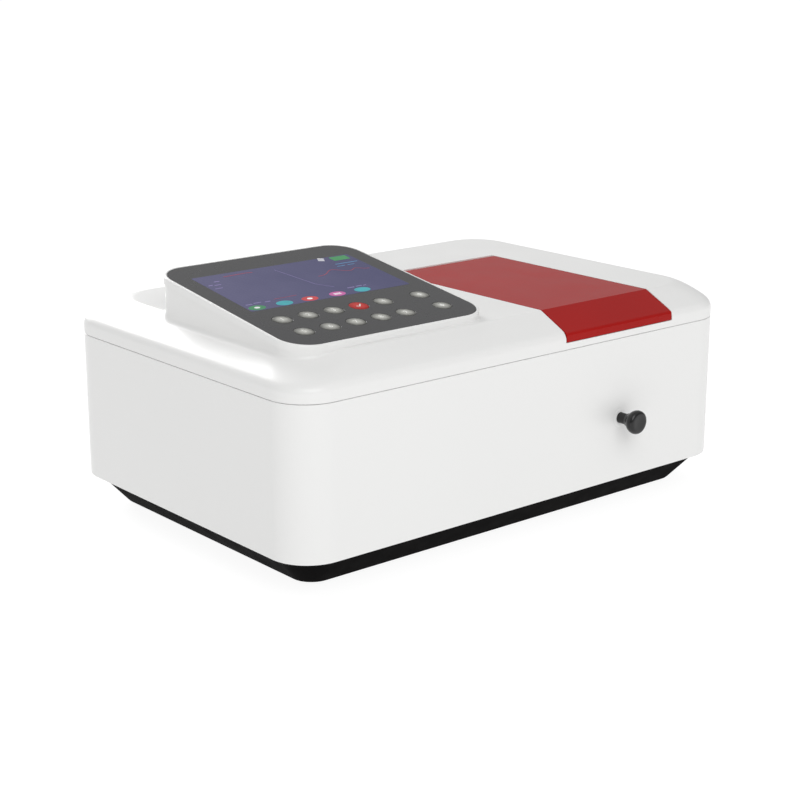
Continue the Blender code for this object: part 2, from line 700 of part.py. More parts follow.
def optics_case():
    """The cast case of the monochromator with its legs, its two slits and its flat lid."""
    low = CASE_LOW
    high = CASE_HIGH
    case = add_object("monochromator_case", box_mesh(low, high), ALUMINIUM)
    wall = Vector((CASE_WALL, CASE_WALL, CASE_WALL))
    hollow = add_cutter(box_mesh(low + wall, (high.x - CASE_WALL, high.y - CASE_WALL, high.z + 0.01)))
    leg_side = 0.012
    for x in (low.x, high.x - leg_side):
        for y in (low.y, high.y - leg_side):
            leg = box_mesh((x, y, FLOOR + FIT_GAP), (x + leg_side, y + leg_side, low.z + 0.001))
            join(case, add_cutter(leg))
    through = Vector((0.0015, 0.01, 0.006))
    entry = Vector((ENTRY_X, high.y, BEAM_Z))
    across = Vector((through.y, through.x, through.z))
    leave = Vector((high.x, BEAM_Y, BEAM_Z))
    entry_slit = add_cutter(box_mesh(entry - through, entry + through))
    exit_slit = add_cutter(box_mesh(leave - across, leave + across))
    cut(case, hollow, entry_slit, exit_slit)
    cap = box_mesh((low.x, low.y, high.z + FIT_GAP), (high.x, high.y, high.z + 0.0023))
    add_object("monochromator_lid", cap, ALUMINIUM)


def grating_drive():
    """The turning grating on its toothed sector, with the pinion and the motor that drive it."""
    floor = CASE_LOW.z + CASE_WALL + FIT_GAP
    sector_radius = SECTOR_TEETH * GEAR_MODULE / 2
    pinion_radius = PINION_TEETH * GEAR_MODULE / 2
    hub = 0.009
    hub_points = 9
    edge = 2 * math.pi * (SECTOR_SPREAD + 0.5) / SECTOR_TEETH
    outline = tooth_outline(SECTOR_TEETH, -SECTOR_SPREAD, SECTOR_SPREAD + 1)
    for step in range(hub_points):
        angle = edge + (2 * math.pi - 2 * edge) * (step + 0.5) / hub_points
        outline.append((hub * math.cos(angle), hub * math.sin(angle)))
    place = (GRATING_X, GRATING_Y, 0)
    facing_left = (0, 0, math.pi)
    gear_top = GEAR_Z + GEAR_THICK
    table = add_object("grating_table", plate_mesh([outline], GEAR_Z, gear_top), BRASS, place, turn=facing_left)
    overlap = 0.001
    saddle_top = gear_top + 0.003
    post_tall = GEAR_Z - floor + overlap
    post = rod_mesh(0.005, post_tall, "Z", 16, (0, 0, floor + post_tall / 2))
    saddle = box_mesh((-0.004, -0.016, gear_top - overlap), (0.008, 0.016, saddle_top))
    back = box_mesh((-0.004, -0.016, gear_top), (-0.001, 0.016, 0.106))
    for piece in (post, saddle, back):
        join(table, add_cutter(piece, place, turn=facing_left))
    grating = box_mesh((-0.001 + FIT_GAP, -0.015, saddle_top + FIT_GAP), (0.005, 0.015, 0.105))
    add_object("diffraction_grating", grating, MIRROR, place, turn=facing_left)

    pinion_x = GRATING_X - sector_radius - pinion_radius
    side_clearance = 0.0005
    teeth = tooth_outline(PINION_TEETH, 0, PINION_TEETH)
    pinion = plate_mesh([teeth], GEAR_Z - side_clearance, gear_top + side_clearance)
    half_tooth = (0, 0, math.pi / PINION_TEETH)
    drive = add_object("drive_pinion", pinion, BRASS, (pinion_x, GRATING_Y, 0), turn=half_tooth)
    stub = rod_mesh(0.0025, 0.0034, "Z", 12, (0, 0, GEAR_Z - 0.0020))
    join(drive, add_cutter(stub, (pinion_x, GRATING_Y, 0)))
    motor_tall = 0.0150
    motor_place = (pinion_x + 0.0035, GRATING_Y, floor + motor_tall / 2)
    motor = add_object("wavelength_motor", rod_mesh(0.0090, motor_tall, "Z", 20), SILVER_TIN, motor_place)
    boss = rod_mesh(0.0035, 0.0010, "Z", 12, (pinion_x, GRATING_Y, floor + motor_tall + 0.0002))
    join(motor, add_cutter(boss))


def fixed_mirror():
    """The hollow mirror on its stand inside the monochromator."""
    lift = 0.015
    place = (-0.030, CASE_LOW.y + 0.014, CASE_LOW.z + CASE_WALL + FIT_GAP + lift)
    turn = (0, 0, math.radians(14))
    block = box_mesh((-0.018, -0.004, 0), (0.018, 0.004, 0.040))
    holder = add_object("collimating_mirror", block, MIRROR, place, turn=turn)
    stand = box_mesh((-0.006, -0.004, -lift), (0.006, 0.004, 0.001))
    dish = rod_mesh(0.017, 0.003, "Y", 20, (0, 0.0045, 0.024), 0.015)
    join(holder, add_cutter(stand, place, turn=turn))
    cut(holder, add_cutter(dish, place, turn=turn))


def filter_changer():
    """The wheel of six order-sorting filters behind the entrance slit, and its motor."""
    hole_ring = 0.017
    outlines = [circle(0, 0, 0.024, 30), circle(0, 0, 0.0022, 10)]
    for k in range(6):
        angle = k * math.pi / 3
        outlines.append(circle(hole_ring * math.cos(angle), hole_ring * math.sin(angle), 0.005, 10))
    x = ENTRY_X + hole_ring
    wall_y = CASE_HIGH.y
    wheel = plate_mesh(outlines, -0.001, 0.001)
    add_object("filter_wheel", wheel, ANODISED, (x, wall_y + 0.006, BEAM_Z), turn=(math.pi / 2, 0, 0))
    place = (x, wall_y + 0.0185, BEAM_Z)
    motor = add_object("filter_wheel_motor", rod_mesh(0.0105, 0.014, "Y", 20), SILVER_TIN, place)
    spindle = rod_mesh(0.0020, 0.010, "Y", 10)
    bracket = box_mesh((-0.008, -0.006, FLOOR + FIT_GAP - BEAM_Z), (0.008, 0.006, -0.008))
    join(motor, add_cutter(spindle, (x, wall_y + 0.0080, BEAM_Z)), add_cutter(bracket, place))


def light_source():
    """The lamp house with its tungsten and deuterium lamps and the mirror that swaps between them."""
    low = Vector((-0.118, 0.072, 0.045))
    high = Vector((-0.036, 0.134, 0.125))
    house = add_object("lamp_house", box_mesh(low, high), SILVER_TIN)
    wall = 0.0015
    hollow = box_mesh((low.x + wall, low.y + wall, low.z + wall), (high.x - wall, high.y - wall, high.z + 0.01))
    leg_wide = 0.010
    for x in (low.x, high.x - leg_wide):
        leg = box_mesh((x, low.y + 0.01, FLOOR + FIT_GAP), (x + leg_wide, high.y - 0.01, low.z + 0.001))
        join(house, add_cutter(leg))
    window = rod_mesh(0.006, 0.02, "Y", 16, (ENTRY_X, low.y, BEAM_Z))
    cutters = [add_cutter(hollow), add_cutter(window)]
    slot_pitch = 0.0130
    slot_half = 0.003
    for k in range(5):
        x = low.x + 0.014 + k * slot_pitch
        slot = box_mesh((x - slot_half, high.y - 0.01, 0.066), (x + slot_half, high.y + 0.01, 0.112))
        cutters.append(add_cutter(slot))
    cut(house, *cutters)
    base_z = low.z + wall + FIT_GAP
    small_bulb = (
        (0, 0.050),
        (0.0035, 0.048),
        (0.0055, 0.043),
        (0.0055, 0.022),
        (0.0075, 0.021),
        (0.0075, 0),
        (0, 0),
    )
    large_bulb = (
        (0, 0.066),
        (0.009, 0.064),
        (0.013, 0.058),
        (0.013, 0.016),
        (0.017, 0.015),
        (0.017, 0.011),
        (0.010, 0.010),
        (0.010, 0),
        (0, 0),
    )
    turned("tungsten_lamp", small_bulb, LAMP_GLASS, (-0.095, 0.0885, base_z), steps=14)
    turned("deuterium_lamp", large_bulb, LAMP_GLASS, (-0.094, 0.1145, base_z), steps=16)
    place = (-0.052, 0.100, base_z)
    plate = box_mesh((-0.0120, -0.0012, 0.032), (0.0120, 0.0012, 0.056))
    flip = add_object("lamp_mirror", plate, MIRROR, place, turn=(0, 0, math.radians(-35)))
    shaft_tall = 0.034
    join(flip, add_cutter(rod_mesh(0.0025, shaft_tall, "Z", 12, (0, 0, shaft_tall / 2)), place))


def detector():
    """The photodiode housing on the far side of the compartment."""
    low = Vector((TRAY_RIGHT + 0.003, BEAM_Y - 0.022, 0.062))
    high = Vector((TRAY_RIGHT + 0.045, BEAM_Y + 0.022, 0.116))
    block = add_object("detector_housing", box_mesh(low, high), ANODISED)
    leg_low = (low.x + 0.008, low.y + 0.01, FLOOR + FIT_GAP)
    leg_high = (high.x - 0.008, high.y - 0.01, low.z + 0.001)
    join(block, add_cutter(box_mesh(leg_low, leg_high)))
    bore = rod_mesh(0.0075, 0.05, "X", 16, (low.x + 0.010, BEAM_Y, BEAM_Z))
    cut(block, add_cutter(bore))


def electronics():
    """Main board, power supply and the flat cable that goes up to the keypad board."""
    low = Vector((-0.200, -0.112, 0.032))
    high = Vector((-0.110, 0.030, 0.032 + BOARD_THICK))
    board = add_object("main_board", box_mesh(low, high), BOARD_GREEN)
    pillar_half = 0.003
    pillar_inset = 0.006
    for x in (low.x + pillar_inset, high.x - pillar_inset):
        for y in (low.y + pillar_inset, high.y - pillar_inset):
            pillar_low = (x - pillar_half, y - pillar_half, FLOOR + FIT_GAP)
            pillar_high = (x + pillar_half, y + pillar_half, low.z + 0.0005)
            join(board, add_cutter(box_mesh(pillar_low, pillar_high)))
    top = high.z - 0.0003
    for x, y, wide, deep, tall in (
        (-0.165, -0.070, 0.028, 0.028, 0.003),
        (-0.130, -0.075, 0.016, 0.010, 0.003),
        (-0.130, -0.040, 0.018, 0.012, 0.010),
        (-0.175, -0.015, 0.012, 0.040, 0.009),
        (-0.135, 0.010, 0.022, 0.014, 0.014),
        (-0.183, 0.018, 0.020, 0.010, 0.008),
    ):
        chip = box_mesh((x - wide / 2, y - deep / 2, top), (x + wide / 2, y + deep / 2, top + tall))
        join(board, add_cutter(chip))

    supply_top = 0.050
    box = box_mesh((0.060, 0.060, FLOOR + FIT_GAP), (0.185, 0.122, supply_top))
    supply = add_object("power_supply", box, SILVER_TIN)
    slot_pitch = 0.012
    slot_wide = 0.004
    for k in range(8):
        x = 0.072 + k * slot_pitch
        slot = box_mesh((x, 0.070, supply_top - 0.004), (x + slot_wide, 0.112, supply_top + 0.01))
        cut(supply, add_cutter(slot))

    start_y = -0.020
    half_thick = 0.0004
    path = (
        (start_y, 0.044),
        (start_y + 0.004, 0.080),
        (start_y - 0.030, 0.120),
        (start_y - 0.040, 0.150),
        (start_y - 0.042, 0.172),
    )
    near = [(y - half_thick, z) for y, z in path]
    far = [(y + half_thick, z) for y, z in reversed(path)]
    add_object("display_ribbon", side_plate_mesh(near + far, -0.186, -0.164), RIBBON)


def rear_box(x, half_wide, half_tall, deep, proud):
    """A box in the rear wall at socket height, from deep inside the wall's outer face to proud of it."""
    low = (x - half_wide, BACK - deep, SOCKET_Z - half_tall)
    high = (x + half_wide, BACK + proud, SOCKET_Z + half_tall)
    return box_mesh(low, high)


def sockets():
    """Mains inlet, rocker switch and USB socket in the rear wall."""
    through = 0.010
    sunk = REAR_PROUD - 0.0005
    inlet = add_object("mains_inlet", rear_box(INLET_X, 0.0250, 0.0140, -FIT_GAP, REAR_PROUD), BLACK)
    join(inlet, add_cutter(rear_box(INLET_X, INLET_HALF_WIDE, INLET_HALF_TALL, 0.024, sunk)))
    cut(inlet, add_cutter(rear_box(INLET_X, 0.0120, 0.0080, 0.016, through)))
    for x, z in ((-0.007, -0.001), (0, 0.003), (0.007, -0.001)):
        pin_low = (INLET_X + x - 0.0010, BACK - 0.0165, SOCKET_Z + z - 0.0020)
        pin_high = (INLET_X + x + 0.0010, BACK - 0.0040, SOCKET_Z + z + 0.0020)
        join(inlet, add_cutter(box_mesh(pin_low, pin_high)))

    switch = add_object("switch_frame", rear_box(SWITCH_X, 0.0120, 0.0088, -FIT_GAP, REAR_PROUD), BLACK)
    join(switch, add_cutter(rear_box(SWITCH_X, SWITCH_HALF_WIDE, SWITCH_HALF_TALL, 0.016, sunk)))
    cut(switch, add_cutter(rear_box(SWITCH_X, 0.0083, 0.0052, 0.0120, through)))
    reach = 0.0074
    outline = [
        (-reach, 0.0046),
        (0, 0.0032),
        (reach, 0.0046),
        (reach * 0.9, 0),
        (0.003, -0.0035),
        (-0.003, -0.0035),
        (-reach * 0.9, 0),
    ]
    half_angle = math.radians(9)
    rocker = plate_mesh([outline], -0.0049, 0.0049)
    add_object("switch_rocker", rocker, BLACK, (SWITCH_X, BACK - 0.0046, SOCKET_Z), turn=(0, 0, half_angle))

    usb = add_object("usb_socket", rear_box(USB_X, USB_HALF_WIDE, USB_HALF_TALL, 0.016, 0.0006), SILVER_TIN)
    cut(usb, add_cutter(rear_box(USB_X, 0.0045, 0.0040, 0.012, through)))


def cooling_fan():
    """The fan behind the rear slots: a square frame with three arms, and a rotor with seven blades."""
    half = FAN_SIDE / 2
    ring = rounded_rectangle((-half, -half), (half, half), 0.004, 3)
    frame = plate_mesh([ring, circle(0, 0, half - 0.0017, 32)], -FAN_DEEP, 0)
    turn = (math.pi / 2, 0, 0)
    place = (FAN_X, BACK - WALL - FIT_GAP - FAN_DEEP, FAN_Z)
    fan = add_object("fan_frame", frame, BLACK, place, turn=turn)
    hub = 0.014
    arm_half = 0.0015
    arm_end = half - 0.001
    spider = []
    for arm in range(3):
        middle = math.pi / 2 + arm * 2 * math.pi / 3
        for radius, side in ((hub, -1), (arm_end, -1), (arm_end, 1), (hub, 1)):
            angle = middle + side * math.asin(arm_half / radius)
            spider.append((radius * math.cos(angle), radius * math.sin(angle)))
        for step in range(1, 6):
            angle = middle + step * math.pi / 9
            spider.append((hub * math.cos(angle), hub * math.sin(angle)))
    join(fan, add_cutter(plate_mesh([spider], -0.0022, -0.0003), place, turn=turn))
    rotor_z = -0.0085
    rotor = add_object("fan_rotor", rod_mesh(0.0125, 0.011, "Z", 20, (0, 0, rotor_z)), BLACK, place, turn=turn)
    blades = 7
    blade_half = 0.0050
    for k in range(blades):
        blade = box_mesh((0.0110, -blade_half, -0.0004), (half - 0.0035, blade_half, 0.0004))
        blade.transform(Matrix.Rotation(math.radians(38), 4, "X"))
        blade.transform(Matrix.Translation((0, 0, rotor_z)))
        blade.transform(Matrix.Rotation(k * 2 * math.pi / blades, 4, "Z"))
        join(rotor, add_cutter(blade, place, turn=turn))


base()
housing()
cover()
lid()
display()
sample_compartment()
carriage()
optics_case()
grating_drive()
fixed_mirror()
filter_changer()
light_source()
detector()
electronics()
sockets()
cooling_fan()
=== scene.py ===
"""Looks of a bench spectrophotometer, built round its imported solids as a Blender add-on.

Sizes are metres. Shell pieces are drawn from the middle of the housing's plan and then moved onto it,
display pieces are drawn in the panel's own frame: u to the right, v up the slope, w out of the glass.
"""

import math

import bmesh
import bpy
from bpy.props import FloatProperty, FloatVectorProperty, IntProperty, PointerProperty
from mathutils import Euler, Matrix, Vector, noise


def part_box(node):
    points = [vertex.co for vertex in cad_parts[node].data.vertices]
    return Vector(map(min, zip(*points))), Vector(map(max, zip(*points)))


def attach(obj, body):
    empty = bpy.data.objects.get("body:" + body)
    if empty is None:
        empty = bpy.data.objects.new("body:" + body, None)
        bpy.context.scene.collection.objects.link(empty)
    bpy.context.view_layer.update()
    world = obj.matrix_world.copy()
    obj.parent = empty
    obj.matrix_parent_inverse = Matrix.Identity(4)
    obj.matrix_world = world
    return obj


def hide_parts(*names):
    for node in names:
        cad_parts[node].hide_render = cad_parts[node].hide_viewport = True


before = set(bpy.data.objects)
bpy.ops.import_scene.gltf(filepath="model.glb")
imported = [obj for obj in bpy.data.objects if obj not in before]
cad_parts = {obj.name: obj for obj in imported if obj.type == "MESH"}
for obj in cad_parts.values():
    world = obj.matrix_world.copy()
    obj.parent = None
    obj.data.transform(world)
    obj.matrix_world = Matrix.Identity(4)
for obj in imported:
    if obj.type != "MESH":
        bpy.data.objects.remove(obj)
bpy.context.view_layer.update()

bl_info = {
    "name": "Spectrophotometer",
    "version": (1, 0, 0),
    "blender": (4, 5, 0),
    "location": "View3D > Sidebar > Spectrophotometer",
    "description": "Builds the shells, display, compartment and inner parts of a bench spectrophotometer",
    "category": "Add Mesh",
}

MM = 0.001
SKIRT_LOW, SKIRT_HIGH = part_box("lower_housing")
COVER_LOW, COVER_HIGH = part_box("top_cover")
LID_LOW, LID_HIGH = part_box("sample_lid")
TRAY_LOW, TRAY_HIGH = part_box("sample_tray")
ROD_LOW, ROD_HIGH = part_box("pull_rod")
CELLS_LOW, CELLS_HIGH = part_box("cell_carriage")

HALF_WIDTH = (SKIRT_HIGH.x - SKIRT_LOW.x) / 2
HALF_DEPTH = (SKIRT_HIGH.y - SKIRT_LOW.y) / 2
MIDDLE = Vector((0, (SKIRT_HIGH.y + SKIRT_LOW.y) / 2, 0))
TOP = 177 * MM
SEAM = SKIRT_HIGH.z
PANEL = Matrix.Translation(MIDDLE + Vector((-110.1, -30.2, 196.48)) * MM) @ Matrix.Rotation(
    math.radians(8.35), 4, "X"
)
HINGE_Y = 58 * MM
HINGE_Z = 172 * MM
BEAM = Vector((0, -45, 90)) * MM
ROD = Vector(((ROD_LOW.x + ROD_HIGH.x) / 2, -HALF_DEPTH, (ROD_LOW.z + ROD_HIGH.z) / 2))
FOOT_PLACES = [(x * 175 * MM, y * 103.25 * MM) for x in (-1, 1) for y in (-1, 1)]


# ---------------------------------------------------------------- settings


class SPECTRO_Sizes(bpy.types.PropertyGroup):
    corner: FloatProperty(
        name="Housing corner", description="Radius of the housing's upright corners",
        default=33 * MM, unit="LENGTH",
    )
    wall: FloatProperty(
        name="Housing wall", description="Thickness of the lower housing", default=3 * MM, unit="LENGTH"
    )
    seam_ease: FloatProperty(
        name="Seam edge", description="Round on each lip of the seam between cover and housing",
        default=0.55 * MM, unit="LENGTH",
    )
    shoulder_foot: FloatProperty(
        name="Shoulder foot", description="Height at which the sloped shoulders start",
        default=162.5 * MM, unit="LENGTH",
    )
    front_run: FloatProperty(
        name="Front shoulder", description="Depth of the front slope in plan", default=29.6 * MM, unit="LENGTH"
    )
    left_run: FloatProperty(
        name="Left shoulder", description="Width of the left slope in plan", default=33 * MM, unit="LENGTH"
    )
    round_shoulder: FloatProperty(
        name="Round shoulder", description="Radius of the right and rear top edges",
        default=20 * MM, unit="LENGTH",
    )
    tower_foot: FloatProperty(
        name="Display housing foot", description="Hollow round where the display housing meets the cover",
        default=6 * MM, unit="LENGTH",
    )
    panel_half: FloatProperty(
        name="Panel half side", description="Half the side of the black display panel",
        default=93.5 * MM, unit="LENGTH",
    )
    panel_corner: FloatProperty(
        name="Panel corner", description="Radius of the panel's corners", default=23 * MM, unit="LENGTH"
    )
    bezel_rim: FloatProperty(
        name="Bezel rim", description="Width of the white rim round the panel", default=2.6 * MM, unit="LENGTH"
    )
    key_radius: FloatProperty(
        name="Key radius", description="Radius of a keypad key", default=8 * MM, unit="LENGTH"
    )
    lid_thick: FloatProperty(
        name="Lid thickness", description="Thickness of the folded sample lid", default=3 * MM, unit="LENGTH"
    )
    round_steps: IntProperty(
        name="Corner steps", description="Faces round each housing corner", default=14, min=4, max=40
    )


def colour_setting(name, description, hexcode):
    """A colour property whose default is an sRGB hex value."""
    return FloatVectorProperty(
        name=name, description=description, subtype="COLOR", size=3, min=0, max=1, default=linear(hexcode)[:3]
    )


def linear(hexcode):
    """An sRGB hex colour as the linear red, green, blue and alpha that a shader takes."""
    values = [int(hexcode[k:k + 2], 16) / 255 for k in (1, 3, 5)]
    return [v / 12.92 if v <= 0.04045 else ((v + 0.055) / 1.055) ** 2.4 for v in values] + [1.0]


class SPECTRO_Colours(bpy.types.PropertyGroup):
    housing: colour_setting("Housing", "White of the housing, cover and bezel", "#E9E9E8")
    lid: colour_setting("Sample lid", "Deep red of the sample lid", "#A01411")
    plinth: colour_setting("Plinth", "Black of the plinth and the sample tray", "#0B0A0A")
    panel: colour_setting("Display panel", "Grey-black of the printed display panel", "#2E2E30")
    screen: colour_setting("Screen", "Blue-violet ground of the lit screen", "#26265C")
    floor: colour_setting("Floor", "Pale floor under the instrument", "#F4F4F4")


# ---------------------------------------------------------------- shapes


def quad_round(bm, low, high, radii, z, steps):
    """A level rectangle whose corners are rounded one by one.
    radii are for front left, front right, back left and back right."""
    made = bmesh.ops.create_grid(bm, x_segments=1, y_segments=1, size=0.5)["verts"]
    size = Vector((high[0] - low[0], high[1] - low[1], 1))
    bmesh.ops.scale(bm, vec=size, verts=made)
    centre = Vector(((high[0] + low[0]) / 2, (high[1] + low[1]) / 2, z))
    bmesh.ops.translate(bm, vec=centre, verts=made)
    by_corner = sorted(made, key=lambda v: (v.co.y > centre.y, v.co.x > centre.x))
    for vert, radius in zip(by_corner, radii):
        bmesh.ops.bevel(
            bm, geom=[vert], offset=radius, segments=steps, profile=0.5, affect="VERTICES", material=-1
        )


def stack(sections, steps=8, closed=False):
    """A solid lofted through level rounded rectangles, each (low, high, radii, z).
    A closed stack joins its last section to its first, as round a wall. The sections are bridged one
    unit apart and put at their own heights afterwards, so two at the same height join cleanly."""
    bm = bmesh.new()
    rings = []
    for level, (low, high, radii, _) in enumerate(sections):
        known = set(bm.edges)
        radii = radii if isinstance(radii, (tuple, list)) else (radii,) * 4
        quad_round(bm, low, high, radii, level, steps)
        rings.append([edge for edge in bm.edges if edge not in known])
    faces = list(bm.faces)
    kept = [] if closed else [faces[0], faces[-1]]
    bmesh.ops.delete(bm, geom=[f for f in faces if f not in kept], context="FACES_ONLY")
    pairs = list(zip(rings, rings[1:]))
    if closed:
        pairs.append((rings[-1], rings[0]))
    for lower, upper in pairs:
        bmesh.ops.bridge_loops(bm, edges=lower + upper)
    for vert in bm.verts:
        vert.co.z = sections[round(vert.co.z)][3]
    bmesh.ops.recalc_face_normals(bm, faces=bm.faces)
    return bm


def block(low, high, ease=0.0, steps=2):
    """A box between two corners, its edges eased."""
    low = Vector(low)
    high = Vector(high)
    bm = bmesh.new()
    bmesh.ops.create_cube(bm, size=1)
    bmesh.ops.scale(bm, vec=high - low, verts=bm.verts)
    bmesh.ops.translate(bm, vec=(low + high) / 2, verts=bm.verts)
    if ease:
        bmesh.ops.bevel(
            bm, geom=bm.edges, offset=ease, segments=steps, profile=0.5, affect="EDGES", material=-1
        )
    return bm


def turn_profile(profile, steps=48):
    """A turned solid from (radius, height) points that start and end on the axis or form a ring."""
    bm = bmesh.new()
    verts = [bm.verts.new((radius, 0, height)) for radius, height in profile]
    edges = [bm.edges.new(pair) for pair in zip(verts, verts[1:])]
    if profile[0][0] > 0:
        edges.append(bm.edges.new((verts[-1], verts[0])))
    bmesh.ops.spin(
        bm, geom=verts + edges, cent=(0, 0, 0), axis=(0, 0, 1), angle=2 * math.pi, steps=steps,
        use_merge=True,
    )
    bmesh.ops.remove_doubles(bm, verts=bm.verts, dist=1e-7)
    bmesh.ops.recalc_face_normals(bm, faces=bm.faces)
    return bm


def cylinder(radius, length, steps=32, ease=0.0):
    """An upright cylinder that stands on its own origin, with eased rims."""
    bm = bmesh.new()
    bmesh.ops.create_cone(
        bm, cap_ends=True, segments=steps, radius1=radius, radius2=radius, depth=length
    )
    bmesh.ops.translate(bm, vec=(0, 0, length / 2), verts=bm.verts)
    if ease:
        rims = [e for e in bm.edges if abs(e.verts[0].co.z - e.verts[1].co.z) < 1e-9]
        bmesh.ops.bevel(bm, geom=rims, offset=ease, segments=2, profile=0.5, affect="EDGES", material=-1)
    return bm


def slab(outline, thick, holes_ease=0.0):
    """A flat outline of (x, y) points raised from z = 0 to thick."""
    bm = bmesh.new()
    face = bm.faces.new([bm.verts.new((x, y, 0)) for x, y in outline])
    bm.normal_update()
    if face.normal.z > 0:
        face.normal_flip()
    raised = bmesh.ops.extrude_face_region(bm, geom=[face])["geom"]
    lifted = [item for item in raised if isinstance(item, bmesh.types.BMVert)]
    bmesh.ops.translate(bm, vec=(0, 0, thick), verts=lifted)
    bmesh.ops.recalc_face_normals(bm, faces=bm.faces)
    if holes_ease:
        rims = [e for e in bm.edges if abs(e.verts[0].co.z - e.verts[1].co.z) < 1e-9]
        bmesh.ops.bevel(
            bm, geom=rims, offset=holes_ease, segments=2, profile=0.5, affect="EDGES", material=-1
        )
    return bm


def placed(bm, *matrices):
    """The same bmesh after each matrix in turn."""
    for matrix in matrices:
        bmesh.ops.transform(bm, matrix=matrix, verts=bm.verts)
    return bm


def move(x=0.0, y=0.0, z=0.0):
    return Matrix.Translation((x, y, z))


def turn(degrees, axis):
    return Matrix.Rotation(math.radians(degrees), 4, axis)


FACING_FRONT = turn(90, "X")
FACING_BACK = turn(-90, "X")
FACING_RIGHT = turn(90, "Y")
ONTO_HOUSING = Matrix.Translation(MIDDLE)


def gathered(*pieces):
    """Several bmeshes as one, each staying its own closed body."""
    whole = bmesh.new()
    for bm in pieces:
        mesh = bpy.data.meshes.new("part")
        bm.to_mesh(mesh)
        bm.free()
        whole.from_mesh(mesh)
        bpy.data.meshes.remove(mesh)
    return whole


def holder_of(bm):
    mesh = bpy.data.meshes.new("blank")
    bm.to_mesh(mesh)
    bm.free()
    obj = bpy.data.objects.new("blank", mesh)
    bpy.context.scene.collection.objects.link(obj)
    return obj


def combined(bm, operation, *others):
    """Exact Boolean of bm with each of the others in turn. The others are used up."""
    body = holder_of(bm)
    tools = [holder_of(other) for other in others]
    for tool in tools:
        modifier = body.modifiers.new("combine", "BOOLEAN")
        modifier.operation = operation
        modifier.solver = "EXACT"
        modifier.object = tool
    bpy.context.view_layer.update()
    graph = bpy.context.evaluated_depsgraph_get()
    result = bmesh.new()
    result.from_mesh(body.evaluated_get(graph).to_mesh())
    for obj in [body] + tools:
        mesh = obj.data
        bpy.data.objects.remove(obj)
        bpy.data.meshes.remove(mesh)
    bmesh.ops.remove_doubles(result, verts=result.verts, dist=1e-7)
    bmesh.ops.dissolve_degenerate(result, dist=1e-7, edges=result.edges)
    return result


def add_piece(name, bm, material, body, nodes=(), ease=0.0, sharp=32, ease_angle=50, flat_faces=False):
    """A finished piece at the origin: shaded, edged, riding on its body and standing for its CAD nodes."""
    mesh = bpy.data.meshes.new(name)
    bm.to_mesh(mesh)
    bm.free()
    mesh.materials.append(material)
    mesh.shade_smooth()
    mesh.set_sharp_from_angle(angle=math.radians(sharp))
    obj = bpy.data.objects.new(name, mesh)
    bpy.context.scene.collection.objects.link(obj)
    if ease:
        edge = obj.modifiers.new("eased edges", "BEVEL")
        edge.width = ease
        edge.segments = 2
        edge.limit_method = "ANGLE"
        edge.angle_limit = math.radians(ease_angle)
        edge.use_clamp_overlap = True
        edge.harden_normals = False
    if ease or flat_faces:
        shading = obj.modifiers.new("flat faces", "WEIGHTED_NORMAL")
        shading.keep_sharp = True
        shading.weight = 80
    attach(obj, body)
    if nodes:
        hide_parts(*nodes)
    return obj


def plan(z, inset=0.0, radius=None):
    """One level section of the housing. inset is one value, or (front, left, right, back)."""
    front, left, right, back = inset if isinstance(inset, tuple) else (inset,) * 4
    radius = settings().corner if radius is None else radius
    low = (-HALF_WIDTH + left, -HALF_DEPTH + front)
    high = (HALF_WIDTH - right, HALF_DEPTH - back)
    return low, high, radius, z


def settings():
    return bpy.context.scene.spectro_sizes


def colours():
    return bpy.context.scene.spectro_colours


def rounded(points, radii, steps=5):
    """A closed outline of (x, y) points with each corner turned into an arc."""
    radii = radii if isinstance(radii, (tuple, list)) else (radii,) * len(points)
    made = []
    for k, (point, radius) in enumerate(zip(points, radii)):
        here = Vector(point)
        before = (Vector(points[k - 1]) - here).normalized()
        after = (Vector(points[(k + 1) % len(points)]) - here).normalized()
        if radius <= 0:
            made.append(tuple(here))
            continue
        half = before.angle(after) / 2
        centre = here + (before + after).normalized() * radius / math.sin(half)
        first = here + before * radius / math.tan(half) - centre
        last = here + after * radius / math.tan(half) - centre
        for step in range(steps + 1):
            arm = first.slerp(last, step / steps)
            made.append(tuple(centre + arm.normalized() * radius))
    return made


def rectangle(low, high):
    return [(low[0], low[1]), (high[0], low[1]), (high[0], high[1]), (low[0], high[1])]


ALONG_X = Matrix(((0, 0, 1, 0), (1, 0, 0, 0), (0, 1, 0, 0), (0, 0, 0, 1)))


def side_slab(outline, left, right, ease=0.0):
    """A slab whose outline is drawn in (y, z) and that runs from left to right."""
    return placed(slab(outline, right - left, ease), ALONG_X, move(left))


def ribbon(points, width, thick):
    """A flat line of even width through (x, y) points."""
    near = []
    far = []
    for k, point in enumerate(points):
        here = Vector(point)
        along = Vector(points[min(k + 1, len(points) - 1)]) - Vector(points[max(k - 1, 0)])
        side = Vector((-along.y, along.x)).normalized() * width / 2
        near.append(tuple(here + side))
        far.append(tuple(here - side))
    return slab(near + far[::-1], thick)


def glyph(text, size, thick):
    """Flat characters centred on the origin, standing from z = 0 to thick."""
    curve = bpy.data.curves.new("glyph", "FONT")
    curve.body = text
    curve.size = size
    curve.extrude = thick / 2
    curve.align_x = "CENTER"
    curve.align_y = "CENTER"
    curve.resolution_u = 3
    holder = bpy.data.objects.new("glyph", curve)
    bpy.context.scene.collection.objects.link(holder)
    bpy.context.view_layer.update()
    graph = bpy.context.evaluated_depsgraph_get()
    bm = bmesh.new()
    bm.from_mesh(holder.evaluated_get(graph).to_mesh())
    bpy.data.objects.remove(holder)
    bpy.data.curves.remove(curve)
    bmesh.ops.remove_doubles(bm, verts=bm.verts, dist=1e-7)
    bmesh.ops.translate(bm, vec=(0, 0, thick / 2), verts=bm.verts)
    return bm


# ---------------------------------------------------------------- materials


